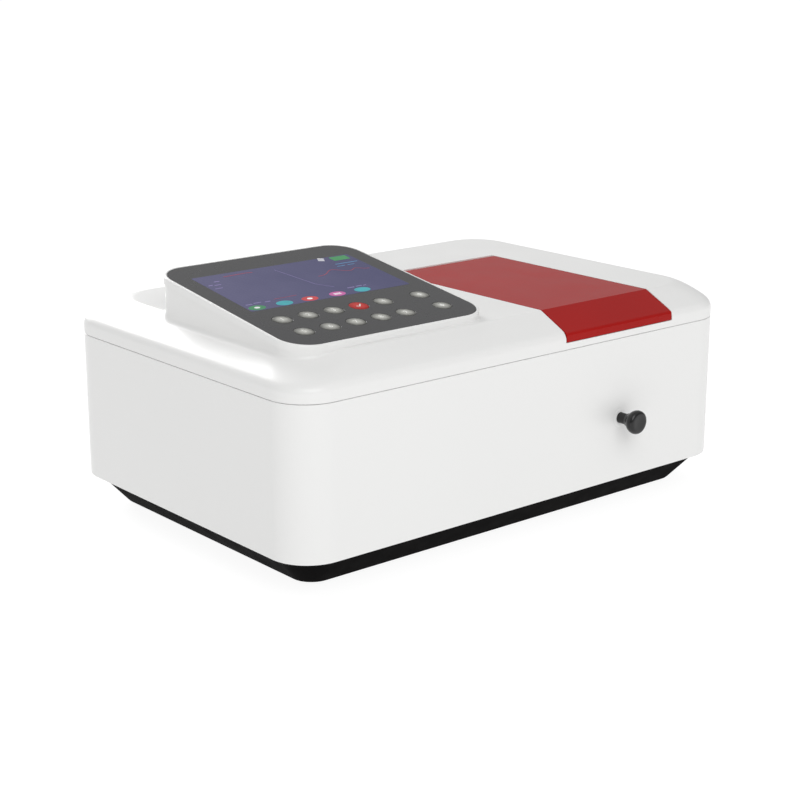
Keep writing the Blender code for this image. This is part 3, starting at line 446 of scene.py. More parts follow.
class Shader:
    """A Principled material whose other nodes are added one by one."""

    def __init__(self, name):
        self.material = bpy.data.materials.new(name)
        self.material.use_nodes = True
        self.tree = self.material.node_tree
        self.surface = self.tree.nodes["Principled BSDF"]
        self.place = self.add("ShaderNodeTexCoord").outputs["Object"]

    def add(self, kind, inputs=None, **values):
        """A node of one kind. An input given as a socket is linked, any other is set."""
        node = self.tree.nodes.new(kind)
        for key, value in values.items():
            setattr(node, key, value)
        for key, value in (inputs or {}).items():
            self.join(value, node.inputs[key])
        return node

    def join(self, value, socket):
        if isinstance(value, bpy.types.NodeSocket):
            self.tree.links.new(value, socket)
        else:
            socket.default_value = value

    def set(self, **values):
        for key, value in values.items():
            self.join(value, self.surface.inputs[key.replace("_", " ")])

    def noise(self, size_mm, detail=3.0, stretch=(1, 1, 1)):
        """Noise whose features are about size_mm across, drawn out along an axis by stretch."""
        at = self.place
        if stretch != (1, 1, 1):
            at = self.add("ShaderNodeMapping", {"Vector": self.place, "Scale": stretch}).outputs["Vector"]
        return self.add(
            "ShaderNodeTexNoise", {"Vector": at, "Scale": 1000 / size_mm, "Detail": detail}
        ).outputs["Fac"]

    def ramp(self, value, low, high, to_low=0.0, to_high=1.0):
        return self.add(
            "ShaderNodeMapRange",
            {"Value": value, "From Min": low, "From Max": high, "To Min": to_low, "To Max": to_high},
        ).outputs["Result"]

    def mix(self, share, first, second):
        return self.add(
            "ShaderNodeMix", {"Factor": share, 6: first, 7: second}, data_type="RGBA"
        ).outputs[2]

    def math(self, operation, first, second=0.0):
        return self.add("ShaderNodeMath", {0: first, 1: second}, operation=operation).outputs[0]

    def bump(self, height, depth_mm, strength=1.0):
        normal = self.add(
            "ShaderNodeBump", {"Height": height, "Distance": depth_mm * MM, "Strength": strength}
        ).outputs["Normal"]
        self.set(Normal=normal)


def toned(colour, change):
    """The same linear colour made lighter or darker by a share."""
    return [min(1.0, max(0.0, channel * (1 + change))) for channel in colour[:3]] + [1.0]


def surface(
    name, colour, roughness, metallic=0.0, tone=0.03, tone_mm=60, grain_mm=0.6, grain_depth=0.004,
    rough_swing=0.05, stretch=(1, 1, 1), coat=0.0, transmission=0.0, ior=1.5, specular=0.5,
):
    """A material with a slow drift of tone, worn patches of roughness and a fine grain in relief."""
    shader = Shader(name)
    colour = linear(colour) if isinstance(colour, str) else list(colour)[:3] + [1.0]
    drift = shader.ramp(shader.noise(tone_mm), 0.3, 0.7)
    patches = shader.noise(tone_mm / 4, 4.0)
    shader.set(
        Base_Color=shader.mix(drift, toned(colour, -tone), toned(colour, tone)),
        Roughness=shader.ramp(patches, 0.3, 0.7, roughness - rough_swing, roughness + rough_swing),
        Metallic=metallic,
        Coat_Weight=coat,
        Transmission_Weight=transmission,
        Specular_IOR_Level=specular,
    )
    if metallic < 1:
        shader.set(IOR=ior)
    shader.bump(shader.noise(grain_mm, 2.0, stretch), grain_depth, 0.6)
    return shader.material


MADE = {}


def material_of(key):
    """The material of one real substance, made when it is first asked for."""
    if key not in MADE:
        MADE[key] = RECIPES[key]()
    return MADE[key]


def overlay_print():
    """Back-printed glossy polycarbonate: near black, with a faint mottled print under a clear coat."""
    shader = Shader("printed_polycarbonate_panel")
    base = list(colours().panel) + [1.0]
    mottled = shader.ramp(shader.noise(1.2, 5.0), 0.35, 0.65)
    shader.set(
        Base_Color=shader.mix(mottled, toned(base, -0.12), toned(base, 0.12)),
        Roughness=shader.ramp(shader.noise(40), 0.3, 0.7, 0.24, 0.32),
        Specular_IOR_Level=0.38,
        Coat_Weight=0.2,
        Coat_Roughness=0.15,
    )
    return shader.material


def lit_screen():
    """Lit liquid crystal display: violet on its left, bluer on its right, with rows and columns of dots."""
    shader = Shader("lit_liquid_crystal")
    left = PANEL.translation.x - 78 * MM
    right = PANEL.translation.x + 78 * MM
    axes = shader.add("ShaderNodeSeparateXYZ", {"Vector": shader.place}).outputs
    across = shader.ramp(axes["X"], left, right)
    cloudy = shader.ramp(shader.noise(30, 2.0), 0.3, 0.7, -0.15, 0.15)
    share = shader.math("ADD", across, cloudy)
    ground = shader.mix(share, linear("#46446E"), list(colours().screen) + [1.0])
    dots = shader.add(
        "ShaderNodeTexWave", {"Vector": shader.place, "Scale": 1000 / 20 / 0.6}, bands_direction="X"
    ).outputs["Fac"]
    rows = shader.add(
        "ShaderNodeTexWave", {"Vector": shader.place, "Scale": 1000 / 20 / 0.6}, bands_direction="Y"
    ).outputs["Fac"]
    glow = shader.ramp(shader.math("MULTIPLY", dots, rows), 0.0, 1.0, 0.86, 0.95)
    shader.set(
        Base_Color=linear("#10101A"),
        Roughness=0.22,
        Emission_Color=ground,
        Emission_Strength=glow,
        Specular_IOR_Level=0.38,
        Coat_Weight=0.2,
        Coat_Roughness=0.15,
    )
    return shader.material


def lit_mark(name, hexcode, strength=0.9):
    """A lit mark on the display, a little uneven from its backlight."""
    shader = Shader(name)
    uneven = shader.ramp(shader.noise(6, 2.0), 0.3, 0.7, strength * 0.8, strength)
    shader.set(
        Base_Color=linear("#101010"), Roughness=0.3, Emission_Color=linear(hexcode), Emission_Strength=uneven
    )
    return shader.material


def key_rubber(name, edge, centre):
    """Moulded silicone key, lighter towards its middle from a painted highlight on its dome, with a little random
    mottling.
    """
    shader = Shader(name)
    reach = shader.add("ShaderNodeAttribute", attribute_name="from_axis").outputs["Fac"]
    # The middle is painted lighter than the edge as a painted highlight; the noise adds random mottling.
    centre_highlight_and_mottle = shader.math("ADD", reach, shader.ramp(shader.noise(2.5), 0.3, 0.7, -0.08, 0.08))
    share = shader.ramp(centre_highlight_and_mottle, 0.3, 1.0)
    shader.set(
        Base_Color=shader.mix(share, linear(centre), linear(edge)),
        Roughness=shader.ramp(shader.noise(1.0), 0.3, 0.7, 0.62, 0.75),
        Specular_IOR_Level=0.3,
    )
    shader.bump(shader.noise(0.35, 2.0), 0.004, 0.6)
    return shader.material


def circuit_board():
    """Glass-epoxy board: green solder mask, lighter where copper tracks run beneath it."""
    shader = Shader("solder_mask_over_copper")
    tracks = shader.add(
        "ShaderNodeTexBrick",
        {"Vector": shader.place, "Scale": 1000 / 6, "Mortar Size": 0.06, "Brick Width": 0.9, "Row Height": 0.3},
    ).outputs["Fac"]
    weave = shader.noise(0.5, 2.0)
    shader.set(
        Base_Color=shader.mix(tracks, linear("#0B4A22"), linear("#2C7A3C")),
        Roughness=shader.ramp(weave, 0.3, 0.7, 0.3, 0.42),
    )
    shader.bump(tracks, 0.03, 0.5)
    return shader.material


def ribbon_jacket():
    """Flat cable: grey vinyl jackets side by side, 1.27 mm apart."""
    shader = Shader("grey_vinyl_ribbon")
    cores = shader.add(
        "ShaderNodeTexWave", {"Vector": shader.place, "Scale": 1000 / 20 / 1.27 * math.pi}, bands_direction="X"
    ).outputs["Fac"]
    shader.set(
        Base_Color=shader.mix(cores, linear("#6E7075"), linear("#9A9CA0")),
        Roughness=shader.ramp(shader.noise(5), 0.3, 0.7, 0.45, 0.6),
    )
    shader.bump(cores, 0.2, 0.6)
    return shader.material


def ruled_grating():
    """Aluminised grating: grooves too fine to see, drawn as faint coloured bands."""
    shader = Shader("aluminised_grating")
    bands = shader.add(
        "ShaderNodeTexWave", {"Vector": shader.place, "Scale": 1000 / 20 / 3.0}, bands_direction="X"
    ).outputs["Color"]
    hue = shader.add("ShaderNodeHueSaturation", {"Saturation": 1.4, "Value": 0.9, "Color": bands})
    rainbow = shader.add("ShaderNodeValToRGB", {"Fac": hue.outputs["Color"]})
    ramp = rainbow.color_ramp
    ramp.elements[0].color = linear("#B7C4E8")
    ramp.elements[1].color = linear("#E8C4B7")
    ramp.elements.new(0.5).color = linear("#C2E8C0")
    shader.set(Base_Color=rainbow.outputs["Color"], Metallic=1.0, Roughness=0.12)
    return shader.material


def turned_metal(name, hexcode, roughness, axis_stretch):
    """Metal with the fine lines that a tool or a brush leaves."""
    return surface(
        name, hexcode, roughness, metallic=1.0, tone=0.05, tone_mm=25, grain_mm=0.5, grain_depth=0.006,
        rough_swing=0.08, stretch=axis_stretch,
    )


RECIPES = {
    # Housing, cover and bezel: white ABS with a fine spark-eroded grain
    "white": lambda: surface(
        "moulded_white_abs", colours().housing, 0.34, tone=0.006, tone_mm=180, grain_mm=0.45,
        grain_depth=0.0025, rough_swing=0.04,
    ),
    # Sample lid: folded deep red acrylic sheet, polished
    "red": lambda: surface(
        "folded_red_acrylic", colours().lid, 0.22, tone=0.05, tone_mm=120, grain_mm=3.0, grain_depth=0.0015,
        rough_swing=0.03, specular=0.10,
    ),
    # Plinth and tray: black ABS, textured matt
    "black": lambda: surface(
        "textured_black_abs", colours().plinth, 0.55, tone=0.15, tone_mm=50, grain_mm=0.7, grain_depth=0.02,
        specular=0.006,
    ),
    # Feet and grommets: black nitrile rubber
    "rubber": lambda: surface("nitrile_rubber", "#1A1A1A", 0.8, tone=0.2, tone_mm=8, grain_depth=0.02),
    # Knob and bush: glossy black phenolic
    "phenolic": lambda: surface(
        "black_phenolic", "#0C0C0C", 0.22, tone=0.2, tone_mm=10, grain_mm=1.5, grain_depth=0.002
    ),
    "overlay": overlay_print,
    "screen": lit_screen,
    "board": circuit_board,
    "ribbon": ribbon_jacket,
    "grating": ruled_grating,
    # Keys: grey and red silicone, their middles painted lighter as a painted highlight
    "key_grey": lambda: key_rubber("grey_silicone_key", "#4A4A47", "#B4B4AE"),
    "key_red": lambda: key_rubber("red_silicone_key", "#9A1613", "#C23A34"),
    # Printed legends: white epoxy ink
    "ink": lambda: surface("white_epoxy_ink", "#E6E6E2", 0.45, tone=0.05, tone_mm=2, grain_mm=0.2),
    # Rods, rails and pins: ground stainless steel
    "steel": lambda: turned_metal("ground_stainless_steel", "#C8C8C8", 0.25, (1, 30, 1)),
    # Cast optics case: aluminium as cast
    "cast": lambda: surface(
        "cast_aluminium", "#C4C6C8", 0.48, metallic=1.0, tone=0.08, tone_mm=20, grain_mm=1.2, grain_depth=0.05,
        rough_swing=0.1,
    ),
    # Cell carriage, filter wheel and detector: black anodised aluminium
    "anodised": lambda: surface(
        "black_anodised_aluminium", "#262628", 0.42, metallic=0.7, tone=0.1, tone_mm=15, grain_mm=0.4,
        grain_depth=0.004,
    ),
    # Sheet-metal boxes: zinc-plated steel with its mottled spangle
    "zinc": lambda: surface(
        "zinc_plated_steel", "#B9BBB8", 0.36, metallic=1.0, tone=0.12, tone_mm=7, grain_mm=2.5, grain_depth=0.01,
        rough_swing=0.12,
    ),
    # Gears and mains pins: drawn brass
    "brass": lambda: turned_metal("drawn_brass", "#C9A24E", 0.3, (1, 1, 20)),
    # Mirrors: front-aluminised glass
    "mirror": lambda: surface(
        "aluminised_mirror", "#E6E8EA", 0.05, metallic=1.0, tone=0.02, tone_mm=20, grain_mm=4, grain_depth=0.0002,
        rough_swing=0.02,
    ),
    # Cuvettes: optical glass
    "cuvette": lambda: surface(
        "optical_glass", "#EEF5F6", 0.05, tone=0.02, tone_mm=12, grain_mm=3, grain_depth=0.0004,
        rough_swing=0.03, transmission=0.92, ior=1.47,
    ),
    # Lamp envelopes: fused quartz
    "quartz": lambda: surface(
        "fused_quartz", "#F4F2EA", 0.06, tone=0.03, tone_mm=10, grain_mm=2, grain_depth=0.001,
        rough_swing=0.03, transmission=0.9, ior=1.46,
    ),
    # Sample liquids: dyed water, one strength in each cell
    "liquid": lambda: surface(
        "dyed_water", "#D8A23A", 0.04, tone=0.1, tone_mm=20, grain_mm=5, grain_depth=0.0002, rough_swing=0.02,
        transmission=0.9, ior=1.33,
    ),
    # Chip bodies: black moulding compound
    "chip": lambda: surface(
        "epoxy_moulding_compound", "#1B1B1D", 0.55, tone=0.12, tone_mm=4, grain_mm=0.3, grain_depth=0.01
    ),
    # Coils and sleeves: enamelled and sleeved parts on the boards
    "sleeve": lambda: surface("blue_heat_shrink", "#1F3566", 0.45, tone=0.15, tone_mm=5, grain_mm=0.5),
    # Ceramic lamp bases
    "ceramic": lambda: surface("steatite_ceramic", "#D9D4C8", 0.6, tone=0.06, tone_mm=5, grain_mm=0.6),
    # Lamp filament and plates: tungsten and nickel
    "tungsten": lambda: turned_metal("drawn_tungsten", "#8A8A8C", 0.4, (1, 1, 20)),
}


# ---------------------------------------------------------------- operators


class SPECTRO_OT_skirt(bpy.types.Operator):
    """White lower housing with its openings for the rod, the sockets and the fan"""

    bl_idname = "mesh.spectro_skirt"
    bl_label = "Lower housing"

    def execute(self, context):
        sizes = settings()
        wall = sizes.wall
        ease = sizes.seam_ease
        low = SKIRT_LOW.z
        high = SKIRT_HIGH.z
        turns = [math.radians(a) for a in (0, 30, 60, 90)]
        sections = [plan(low + ease * (1 - math.cos(a)), ease * (1 - math.sin(a)), sizes.corner) for a in turns]
        sections += [
            plan(high - ease * (1 - math.cos(a)), ease * (1 - math.sin(a)), sizes.corner) for a in turns[::-1]
        ]
        inner = sizes.corner - wall
        sections += [plan(high, wall, inner), plan(low, wall, inner)]
        shell = stack(sections, sizes.round_steps, closed=True)
        through = 12 * MM
        cutters = [placed(cylinder(7.2 * MM, through, 48), FACING_FRONT, Matrix.Translation(ROD + Vector((0, 9 * MM, 0))))]
        for x, half_wide, half_tall in ((150, 14, 10.3), (95, 10, 6.8), (55, 6.3, 5.8)):
            outline = rounded(rectangle((-half_wide * MM, -half_tall * MM), (half_wide * MM, half_tall * MM)), 0.6 * MM)
            cutters.append(placed(slab(outline, through), FACING_BACK, move(x * MM, HALF_DEPTH - 8 * MM, 80 * MM)))
        for k in range(7):
            tall = (26 - 3 * abs(k - 3)) * MM
            outline = rounded(rectangle((-2.2 * MM, -tall), (2.2 * MM, tall)), 2.15 * MM)
            x = (-80 + 8 * (k - 3)) * MM
            cutters.append(placed(slab(outline, through), FACING_BACK, move(x, HALF_DEPTH - 8 * MM, 92 * MM)))
        shell = combined(shell, "DIFFERENCE", *cutters)
        bosses = [
            placed(
                turn_profile(((1.4 * MM, 0), (3.6 * MM, 0), (3.6 * MM, 14 * MM), (1.4 * MM, 14 * MM)), 24),
                move(x * 216 * MM, y * 100 * MM, 132 * MM),
            )
            for x in (-1, 1) for y in (-1, 1)
        ]
        arms = [
            block(
                (min(x * 219, x * 227.2) * MM, (y * 100 - 1) * MM, 132 * MM),
                (max(x * 219, x * 227.2) * MM, (y * 100 + 1) * MM, 146 * MM),
            )
            for x in (-1, 1) for y in (-1, 1)
        ]
        whole = placed(gathered(shell, *bosses, *arms), ONTO_HOUSING)
        add_piece(
            "skirt_shell", whole, material_of("white"), "base", ["lower_housing"],
            ease=0.3 * MM, flat_faces=True, ease_angle=70,
        )
        return {"FINISHED"}


def shoulder(z, run, foot, fillet=9 * MM, crease=5 * MM):
    """How far a sloped shoulder has moved in from the wall at a height, with soft foot and crease."""
    tilt = math.atan2(TOP - foot, run)
    reach = fillet * math.tan(math.pi / 4 - tilt / 2)
    start = foot - reach
    if z <= start:
        return 0.0
    if z <= start + fillet * math.cos(tilt):
        return fillet - math.sqrt(max(0.0, fillet ** 2 - (z - start) ** 2))
    soft = crease * math.tan(tilt / 2)
    if z <= TOP - soft * math.sin(tilt):
        return (z - foot) / math.tan(tilt)
    return run + soft - math.sqrt(max(0.0, crease ** 2 - (z - TOP + crease) ** 2))


def cover_plan(z):
    """Insets (front, left, right, back) and corner radii of the cover's outer surface at a height."""
    sizes = settings()
    big = sizes.round_shoulder
    drop = max(0.0, big - (TOP - z))
    side = big - math.sqrt(max(0.0, big ** 2 - drop ** 2))
    front = shoulder(z, sizes.front_run, sizes.shoulder_foot)
    left = shoulder(z, sizes.left_run, sizes.shoulder_foot)
    share = left / sizes.left_run
    radii = [sizes.corner + grow * share for grow in (18 * MM, 0, 8 * MM, -2 * MM)]
    return (front, left, side, side), radii


def cover_sections(shrink, low):
    """The cover's outer surface as level sections, moved in and down by shrink."""
    big = settings().round_shoulder
    heights = {low, SEAM + 2 * MM, 156.5 * MM, TOP - 0.02 * MM, TOP}
    heights.update(TOP - big + big * math.sin(math.radians(a)) for a in range(4, 90, 4))
    sections = []
    for z in sorted(heights):
        insets, radii = cover_plan(z)
        insets = tuple(inset + shrink for inset in insets)
        sections.append(plan(z - (shrink if z > low else 0), insets, [radius - shrink for radius in radii]))
    return sections


def cover_height(x, y):
    """Height of the cover's outer surface at a place in plan, found by halving."""
    low = SEAM
    high = TOP
    for _ in range(22):
        z = (low + high) / 2
        (front, left, right, back), radii = cover_plan(z)
        near = (x + HALF_WIDTH - left, y + HALF_DEPTH - front)
        far = (HALF_WIDTH - right - x, HALF_DEPTH - back - y)
        inside = min(*near, *far) > 0
        corners = ((near[0], near[1]), (far[0], near[1]), (near[0], far[1]), (far[0], far[1]))
        for (a, b), radius in zip(corners, radii):
            if a < radius and b < radius:
                inside = inside and math.hypot(radius - a, radius - b) < radius
        low, high = (z, high) if inside else (low, z)
    return low


def tower():
    """The wall that carries the display: it flares into the cover with a hollow round and ends under the bezel."""
    sizes = settings()
    half = sizes.panel_half + sizes.bezel_rim - 0.5 * MM
    radius = sizes.panel_corner + sizes.bezel_rim - 0.5 * MM
    tilt = math.radians(8.35)
    centre = PANEL.translation - MIDDLE
    low = Vector((centre.x - half, centre.y - half * math.cos(tilt)))
    high = Vector((centre.x + half, centre.y + half * math.cos(tilt)))
    turns = 7
    levels = turns + 3
    shape = stack([(low, high, radius, k) for k in range(levels + 1)], 16)
    for vert in shape.verts:
        level = round(vert.co.z)
        core = Vector((
            min(max(vert.co.x, low.x + radius), high.x - radius),
            min(max(vert.co.y, low.y + radius), high.y - radius),
        ))
        out = (vert.co.xy - core).normalized()
        bottom = cover_height(vert.co.x, vert.co.y)
        top = centre.z + (vert.co.y - centre.y) * math.tan(tilt) - 3.2 * MM / math.cos(tilt)
        bend = min(sizes.tower_foot, max(0.4 * MM, (top - bottom) * 0.5))
        further = vert.co.xy + out * bend
        fall = math.atan2(bottom - cover_height(further.x, further.y), bend)
        whole = math.pi / 2 - min(max(fall, 0.0), math.radians(40))
        share = min(max(level - 1, 0), turns) / turns
        angle = whole * (1 - share)
        start = bottom + bend * math.sin(whole) - bend * (1 - math.cos(whole)) * math.tan(math.pi / 2 - whole)
        place = vert.co.xy + out * bend * (1 - math.cos(angle))
        height = start - bend * math.sin(angle)
        edge = vert.co.xy + out * bend * (1 - math.cos(whole))
        miss = cover_height(edge.x, edge.y) - (start - bend * math.sin(whole))
        height += miss * (1 - share) ** 2
        if level == 0:
            height -= 1.4 * MM
        if level > turns + 1:
            height += (top - height) * (level - turns - 1) / (levels - turns - 1)
        vert.co = (place.x, place.y, min(height, top))
    return shape


class SPECTRO_OT_cover(bpy.types.Operator):
    """White top cover with sloped shoulders, the display housing and the lid's opening"""

    bl_idname = "mesh.spectro_cover"
    bl_label = "Top cover"

    def execute(self, context):
        sizes = settings()
        low = COVER_LOW.z
        ease = sizes.seam_ease
        turns = [math.radians(a) for a in (0, 30, 60, 90)]
        lip = [plan(low + ease * (1 - math.cos(a)), ease * (1 - math.sin(a)), sizes.corner) for a in turns]
        outer = cover_sections(0.0, low + ease)
        shell = stack(lip + outer[1:], sizes.round_steps)
        thin = 2.6 * MM
        hollow = stack(cover_sections(thin, low - 8 * MM), sizes.round_steps)
        shell = combined(shell, "DIFFERENCE", hollow)
        shell = combined(shell, "UNION", tower())
        half = sizes.panel_half + sizes.bezel_rim - 3 * MM
        centre = PANEL.translation - MIDDLE
        tilted = half * math.cos(math.radians(8.35))
        bay = stack(
            [
                ((centre.x - half, centre.y - tilted), (centre.x + half, centre.y + tilted), sizes.panel_corner, z)
                for z in (low - 8 * MM, 240 * MM)
            ],
            12,
        )
        opening = block(
            (LID_LOW.x - 0.6 * MM, -HALF_DEPTH - 10 * MM, LID_LOW.z - 0.3 * MM),
            (LID_HIGH.x + 0.6 * MM, 63.3 * MM, TOP + 20 * MM),
        )
        shell = combined(shell, "DIFFERENCE", bay, opening)
        lugs = []
        for left in (27.0, 161.0):
            outline = rounded([(-5, 0), (5, 0), (5, 8), (-5, 8)], [2, 2, 0, 0])
            outline = [(HINGE_Y + y * MM, HINGE_Z + (z - 5) * MM) for y, z in outline]
            lug = side_slab(outline, left * MM, (left + 7) * MM)
            bore = placed(cylinder(1.6 * MM, 14 * MM, 24), FACING_RIGHT, move((left - 3) * MM, HINGE_Y, HINGE_Z))
            lugs.append(combined(lug, "DIFFERENCE", bore))
        tongue = stack(
            [plan(z, inset, sizes.corner - inset) for inset, z in (
                (3.3 * MM, 144 * MM), (3.3 * MM, 151 * MM), (4.6 * MM, 151 * MM), (4.6 * MM, 144 * MM)
            )], sizes.round_steps, closed=True,
        )
        whole = placed(gathered(shell, tongue, *lugs), ONTO_HOUSING)
        add_piece(
            "cover_shell", whole, material_of("white"), "base", ["top_cover"], flat_faces=True, sharp=24
        )
        return {"FINISHED"}


class SPECTRO_OT_plinth(bpy.types.Operator):
    """Black plinth tray with its ribs, rubber feet and their screws"""

    bl_idname = "mesh.spectro_plinth"
    bl_label = "Plinth and feet"

    def execute(self, context):
        corner = settings().corner
        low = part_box("base_pan")[0].z
        inset = 3.4 * MM
        outside = [
            plan(low, 27.3 * MM, 17 * MM),
            plan(low + 0.4 * MM, 26.6 * MM, 17 * MM),
            plan(low + 1.6 * MM, 25.4 * MM, 17.6 * MM),
            plan(26.2 * MM, 7.0 * MM, corner - 4 * MM),
            plan(27.0 * MM, 6.2 * MM, corner - 3 * MM),
            plan(27.7 * MM, 6.0 * MM, corner - 3 * MM),
            plan(28.0 * MM, inset, corner - inset),
            plan(36.0 * MM, inset, corner - inset),
        ]
        hollow = [
            plan(6.0 * MM, 29.5 * MM, 14 * MM),
            plan(28.0 * MM, 9.0 * MM, corner - 6 * MM),
            plan(50.0 * MM, 9.0 * MM, corner - 6 * MM),
        ]
        pan = combined(stack(outside, 12), "DIFFERENCE", stack(hollow, 12))
        vents = []
        for k in range(9):
            outline = rounded(rectangle((-2 * MM, -16 * MM), (2 * MM, 16 * MM)), 1.95 * MM)
            vents.append(placed(slab(outline, 20 * MM), move((-110 + 8 * k) * MM, 98 * MM, -5 * MM)))
        pan = combined(pan, "DIFFERENCE", *vents)
        ribs = [block((-190 * MM, (y - 0.8) * MM, 5.5 * MM), (190 * MM, (y + 0.8) * MM, 9 * MM)) for y in (-122, 124)]
        whole = placed(gathered(pan, *ribs), ONTO_HOUSING)
        add_piece("plinth_pan", whole, material_of("black"), "base", ["base_pan"], flat_faces=True)
        foot_nodes = ["foot_front_left", "foot_rear_left", "foot_front_right", "foot_rear_right"]
        profile = [(0, 0.8), (4.2, 0.8), (4.4, 0.05), (5.0, 0), (7.9, 0), (8.5, 0.4), (9.0, 2.7), (0, 2.7)]
        for (x, y), node in zip(FOOT_PLACES, foot_nodes):
            spot = Matrix.Translation(MIDDLE + Vector((x, y, 0)))
            foot = turn_profile([(r * MM, z * MM) for r, z in profile])
            add_piece(node + "_pad", placed(foot, spot), material_of("rubber"), "base", [node])
            screw = turn_profile([(r * MM, z * MM) for r, z in [(0, 0.35), (2.2, 0.35), (2.8, 0.7), (2.8, 0.95), (0, 0.95)]], 24)
            slot_cut = [placed(block((-2 * MM, -0.3 * MM, 0), (2 * MM, 0.3 * MM, 0.6 * MM)), turn(a, "Z")) for a in (20, 110)]
            screw = placed(combined(screw, "DIFFERENCE", *slot_cut), spot)
            add_piece(node + "_screw", screw, material_of("zinc"), "base")
        return {"FINISHED"}


class SPECTRO_OT_lid(bpy.types.Operator):
    """Folded red lid of the sample compartment with its flanges and hinge pins"""

    bl_idname = "mesh.spectro_lid"
    bl_label = "Sample lid"

    def execute(self, context):
        sizes = settings()
        thick = sizes.lid_thick
        left = LID_LOW.x
        right = LID_HIGH.x
        front = -HALF_DEPTH
        fold = front + sizes.front_run
        knee = sizes.shoulder_foot + 0.2 * MM
        foot = LID_LOW.z
        under = thick / math.cos(math.radians(26))
        points = [
            (front, foot), (front, knee), (fold, TOP), (HINGE_Y + 5 * MM, TOP),
            (HINGE_Y + 5 * MM, HINGE_Z - 4.5 * MM), (HINGE_Y - 4.5 * MM, HINGE_Z - 4.5 * MM),
            (HINGE_Y - 6 * MM, TOP - thick), (fold + 0.7 * MM, TOP - thick),
            (front + thick, knee - under + 1.5 * MM), (front + thick, foot),
        ]
        radii = [v * MM for v in (0.5, 3.0, 0.8, 4.6, 4.2, 2.5, 1.5, 2.0, 1.0, 0.5)]
        sheet = side_slab(rounded(points, radii, 7), left, right)
        rims = [e for e in sheet.edges if abs(e.verts[0].co.x - e.verts[1].co.x) < 1e-9]
        bmesh.ops.bevel(sheet, geom=rims, offset=0.35 * MM, segments=2, profile=0.5, affect="EDGES", material=-1)
        notches = [
            block((left + a * MM, HINGE_Y - 5.5 * MM, HINGE_Z - 8 * MM), (left + b * MM, HINGE_Y + 9 * MM, TOP - thick))
            for a, b in ((22, 50), (74, 102))
        ]
        bore = placed(cylinder(1.6 * MM, right - left + 20 * MM, 24), FACING_RIGHT, move(left - 10 * MM, HINGE_Y, HINGE_Z))
        sheet = combined(sheet, "DIFFERENCE", bore, *notches)
        edge_low = 155.6 * MM
        flange = rounded(
            [
                (HINGE_Y - 8 * MM, edge_low), (HINGE_Y - 8 * MM, TOP - thick + 0.2 * MM), (fold, TOP - thick + 0.2 * MM),
                (front + 9 * MM, knee + 0.2 * MM), (front + 9 * MM, edge_low),
            ],
            [v * MM for v in (3, 0, 0, 1, 1)],
        )
        sides = [side_slab(flange, left + 3 * MM, left + 5 * MM), side_slab(flange, right - 5 * MM, right - 3 * MM)]
        whole = placed(gathered(sheet, *sides), ONTO_HOUSING)
        add_piece("lid_panel", whole, material_of("red"), "lid", ["sample_lid"], sharp=22, flat_faces=True)
        for node in ("lid_hinge_pin_left", "lid_hinge_pin_right"):
            low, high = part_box(node)
            pin = placed(
                cylinder(1.5 * MM, high.x - low.x, 24, 0.25 * MM), FACING_RIGHT,
                move(low.x, (low.y + high.y) / 2, (low.z + high.z) / 2),
            )
            add_piece(node + "_ground", pin, material_of("steel"), "base", [node])
        return {"FINISHED"}


def panel_ring(half, corner, w):
    return (-half, -half), (half, half), corner, w


class SPECTRO_OT_display(bpy.types.Operator):
    """Tilted display: white bezel, dark printed panel, lit screen and its marks"""

    bl_idname = "mesh.spectro_display"
    bl_label = "Display"

    def execute(self, context):
        sizes = settings()
        half = sizes.panel_half
        corner = sizes.panel_corner
        rim = sizes.bezel_rim
        outer = half + rim
        top = 0.2 * MM
        rounding = 1.5 * MM
        chain = [panel_ring(outer, corner + rim, -6 * MM)]
        for angle in range(0, 91, 15):
            a = math.radians(angle)
            inset = rounding * (1 - math.cos(a))
            chain.append(panel_ring(outer - inset, corner + rim - inset, top - rounding + rounding * math.sin(a)))
        chain += [
            panel_ring(half + 0.7 * MM, corner + 0.7 * MM, top),
            panel_ring(half + 0.4 * MM, corner + 0.4 * MM, top - 0.12 * MM),
            panel_ring(half + 0.3 * MM, corner + 0.3 * MM, top - 0.6 * MM),
            panel_ring(half + 0.3 * MM, corner + 0.3 * MM, -2.8 * MM),
            panel_ring(half - 4 * MM, corner - 4 * MM, -2.8 * MM),
            panel_ring(half - 4 * MM, corner - 4 * MM, -6 * MM),
        ]
        bezel = placed(stack(chain, 18, closed=True), PANEL)
        add_piece("bezel_frame", bezel, material_of("white"), "base", ["display_bezel"], sharp=50)

        sheet = slab(rounded(rectangle((-half, -half), (half, half)), corner, 18), 2.5 * MM)
        placed(sheet, move(z=-2.5 * MM))
        cutters = []
        for low, high in (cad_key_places()):
            cutters.append(placed(cylinder(sizes.key_radius + 0.15 * MM, 12 * MM, 48), move(low, high, -6 * MM)))
        sheet = placed(combined(sheet, "DIFFERENCE", *cutters), PANEL)
        add_piece(
            "panel_sheet", sheet, material_of("overlay"), "base", ["panel_overlay"],
            ease=0.08 * MM, flat_faces=True,
        )
        lit = slab(rounded(rectangle((-78 * MM, -16 * MM), (78 * MM, 67 * MM)), 1.5 * MM), 0.04 * MM)
        add_piece("screen_lit", placed(lit, PANEL), material_of("screen"), "base", ["lcd_module"])
        for name, bm, material in screen_marks():
            add_piece(name, placed(bm, move(z=0.04 * MM), PANEL), material, "base")
        return {"FINISHED"}


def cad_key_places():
    """Centres of the twelve keys on the panel, upper row first."""
    columns = (-67.0, -42.6, -18.2, 6.2, 30.6, 68.0)
    return [(u * MM, v * MM) for v in (-40.0, -67.5) for u in columns]


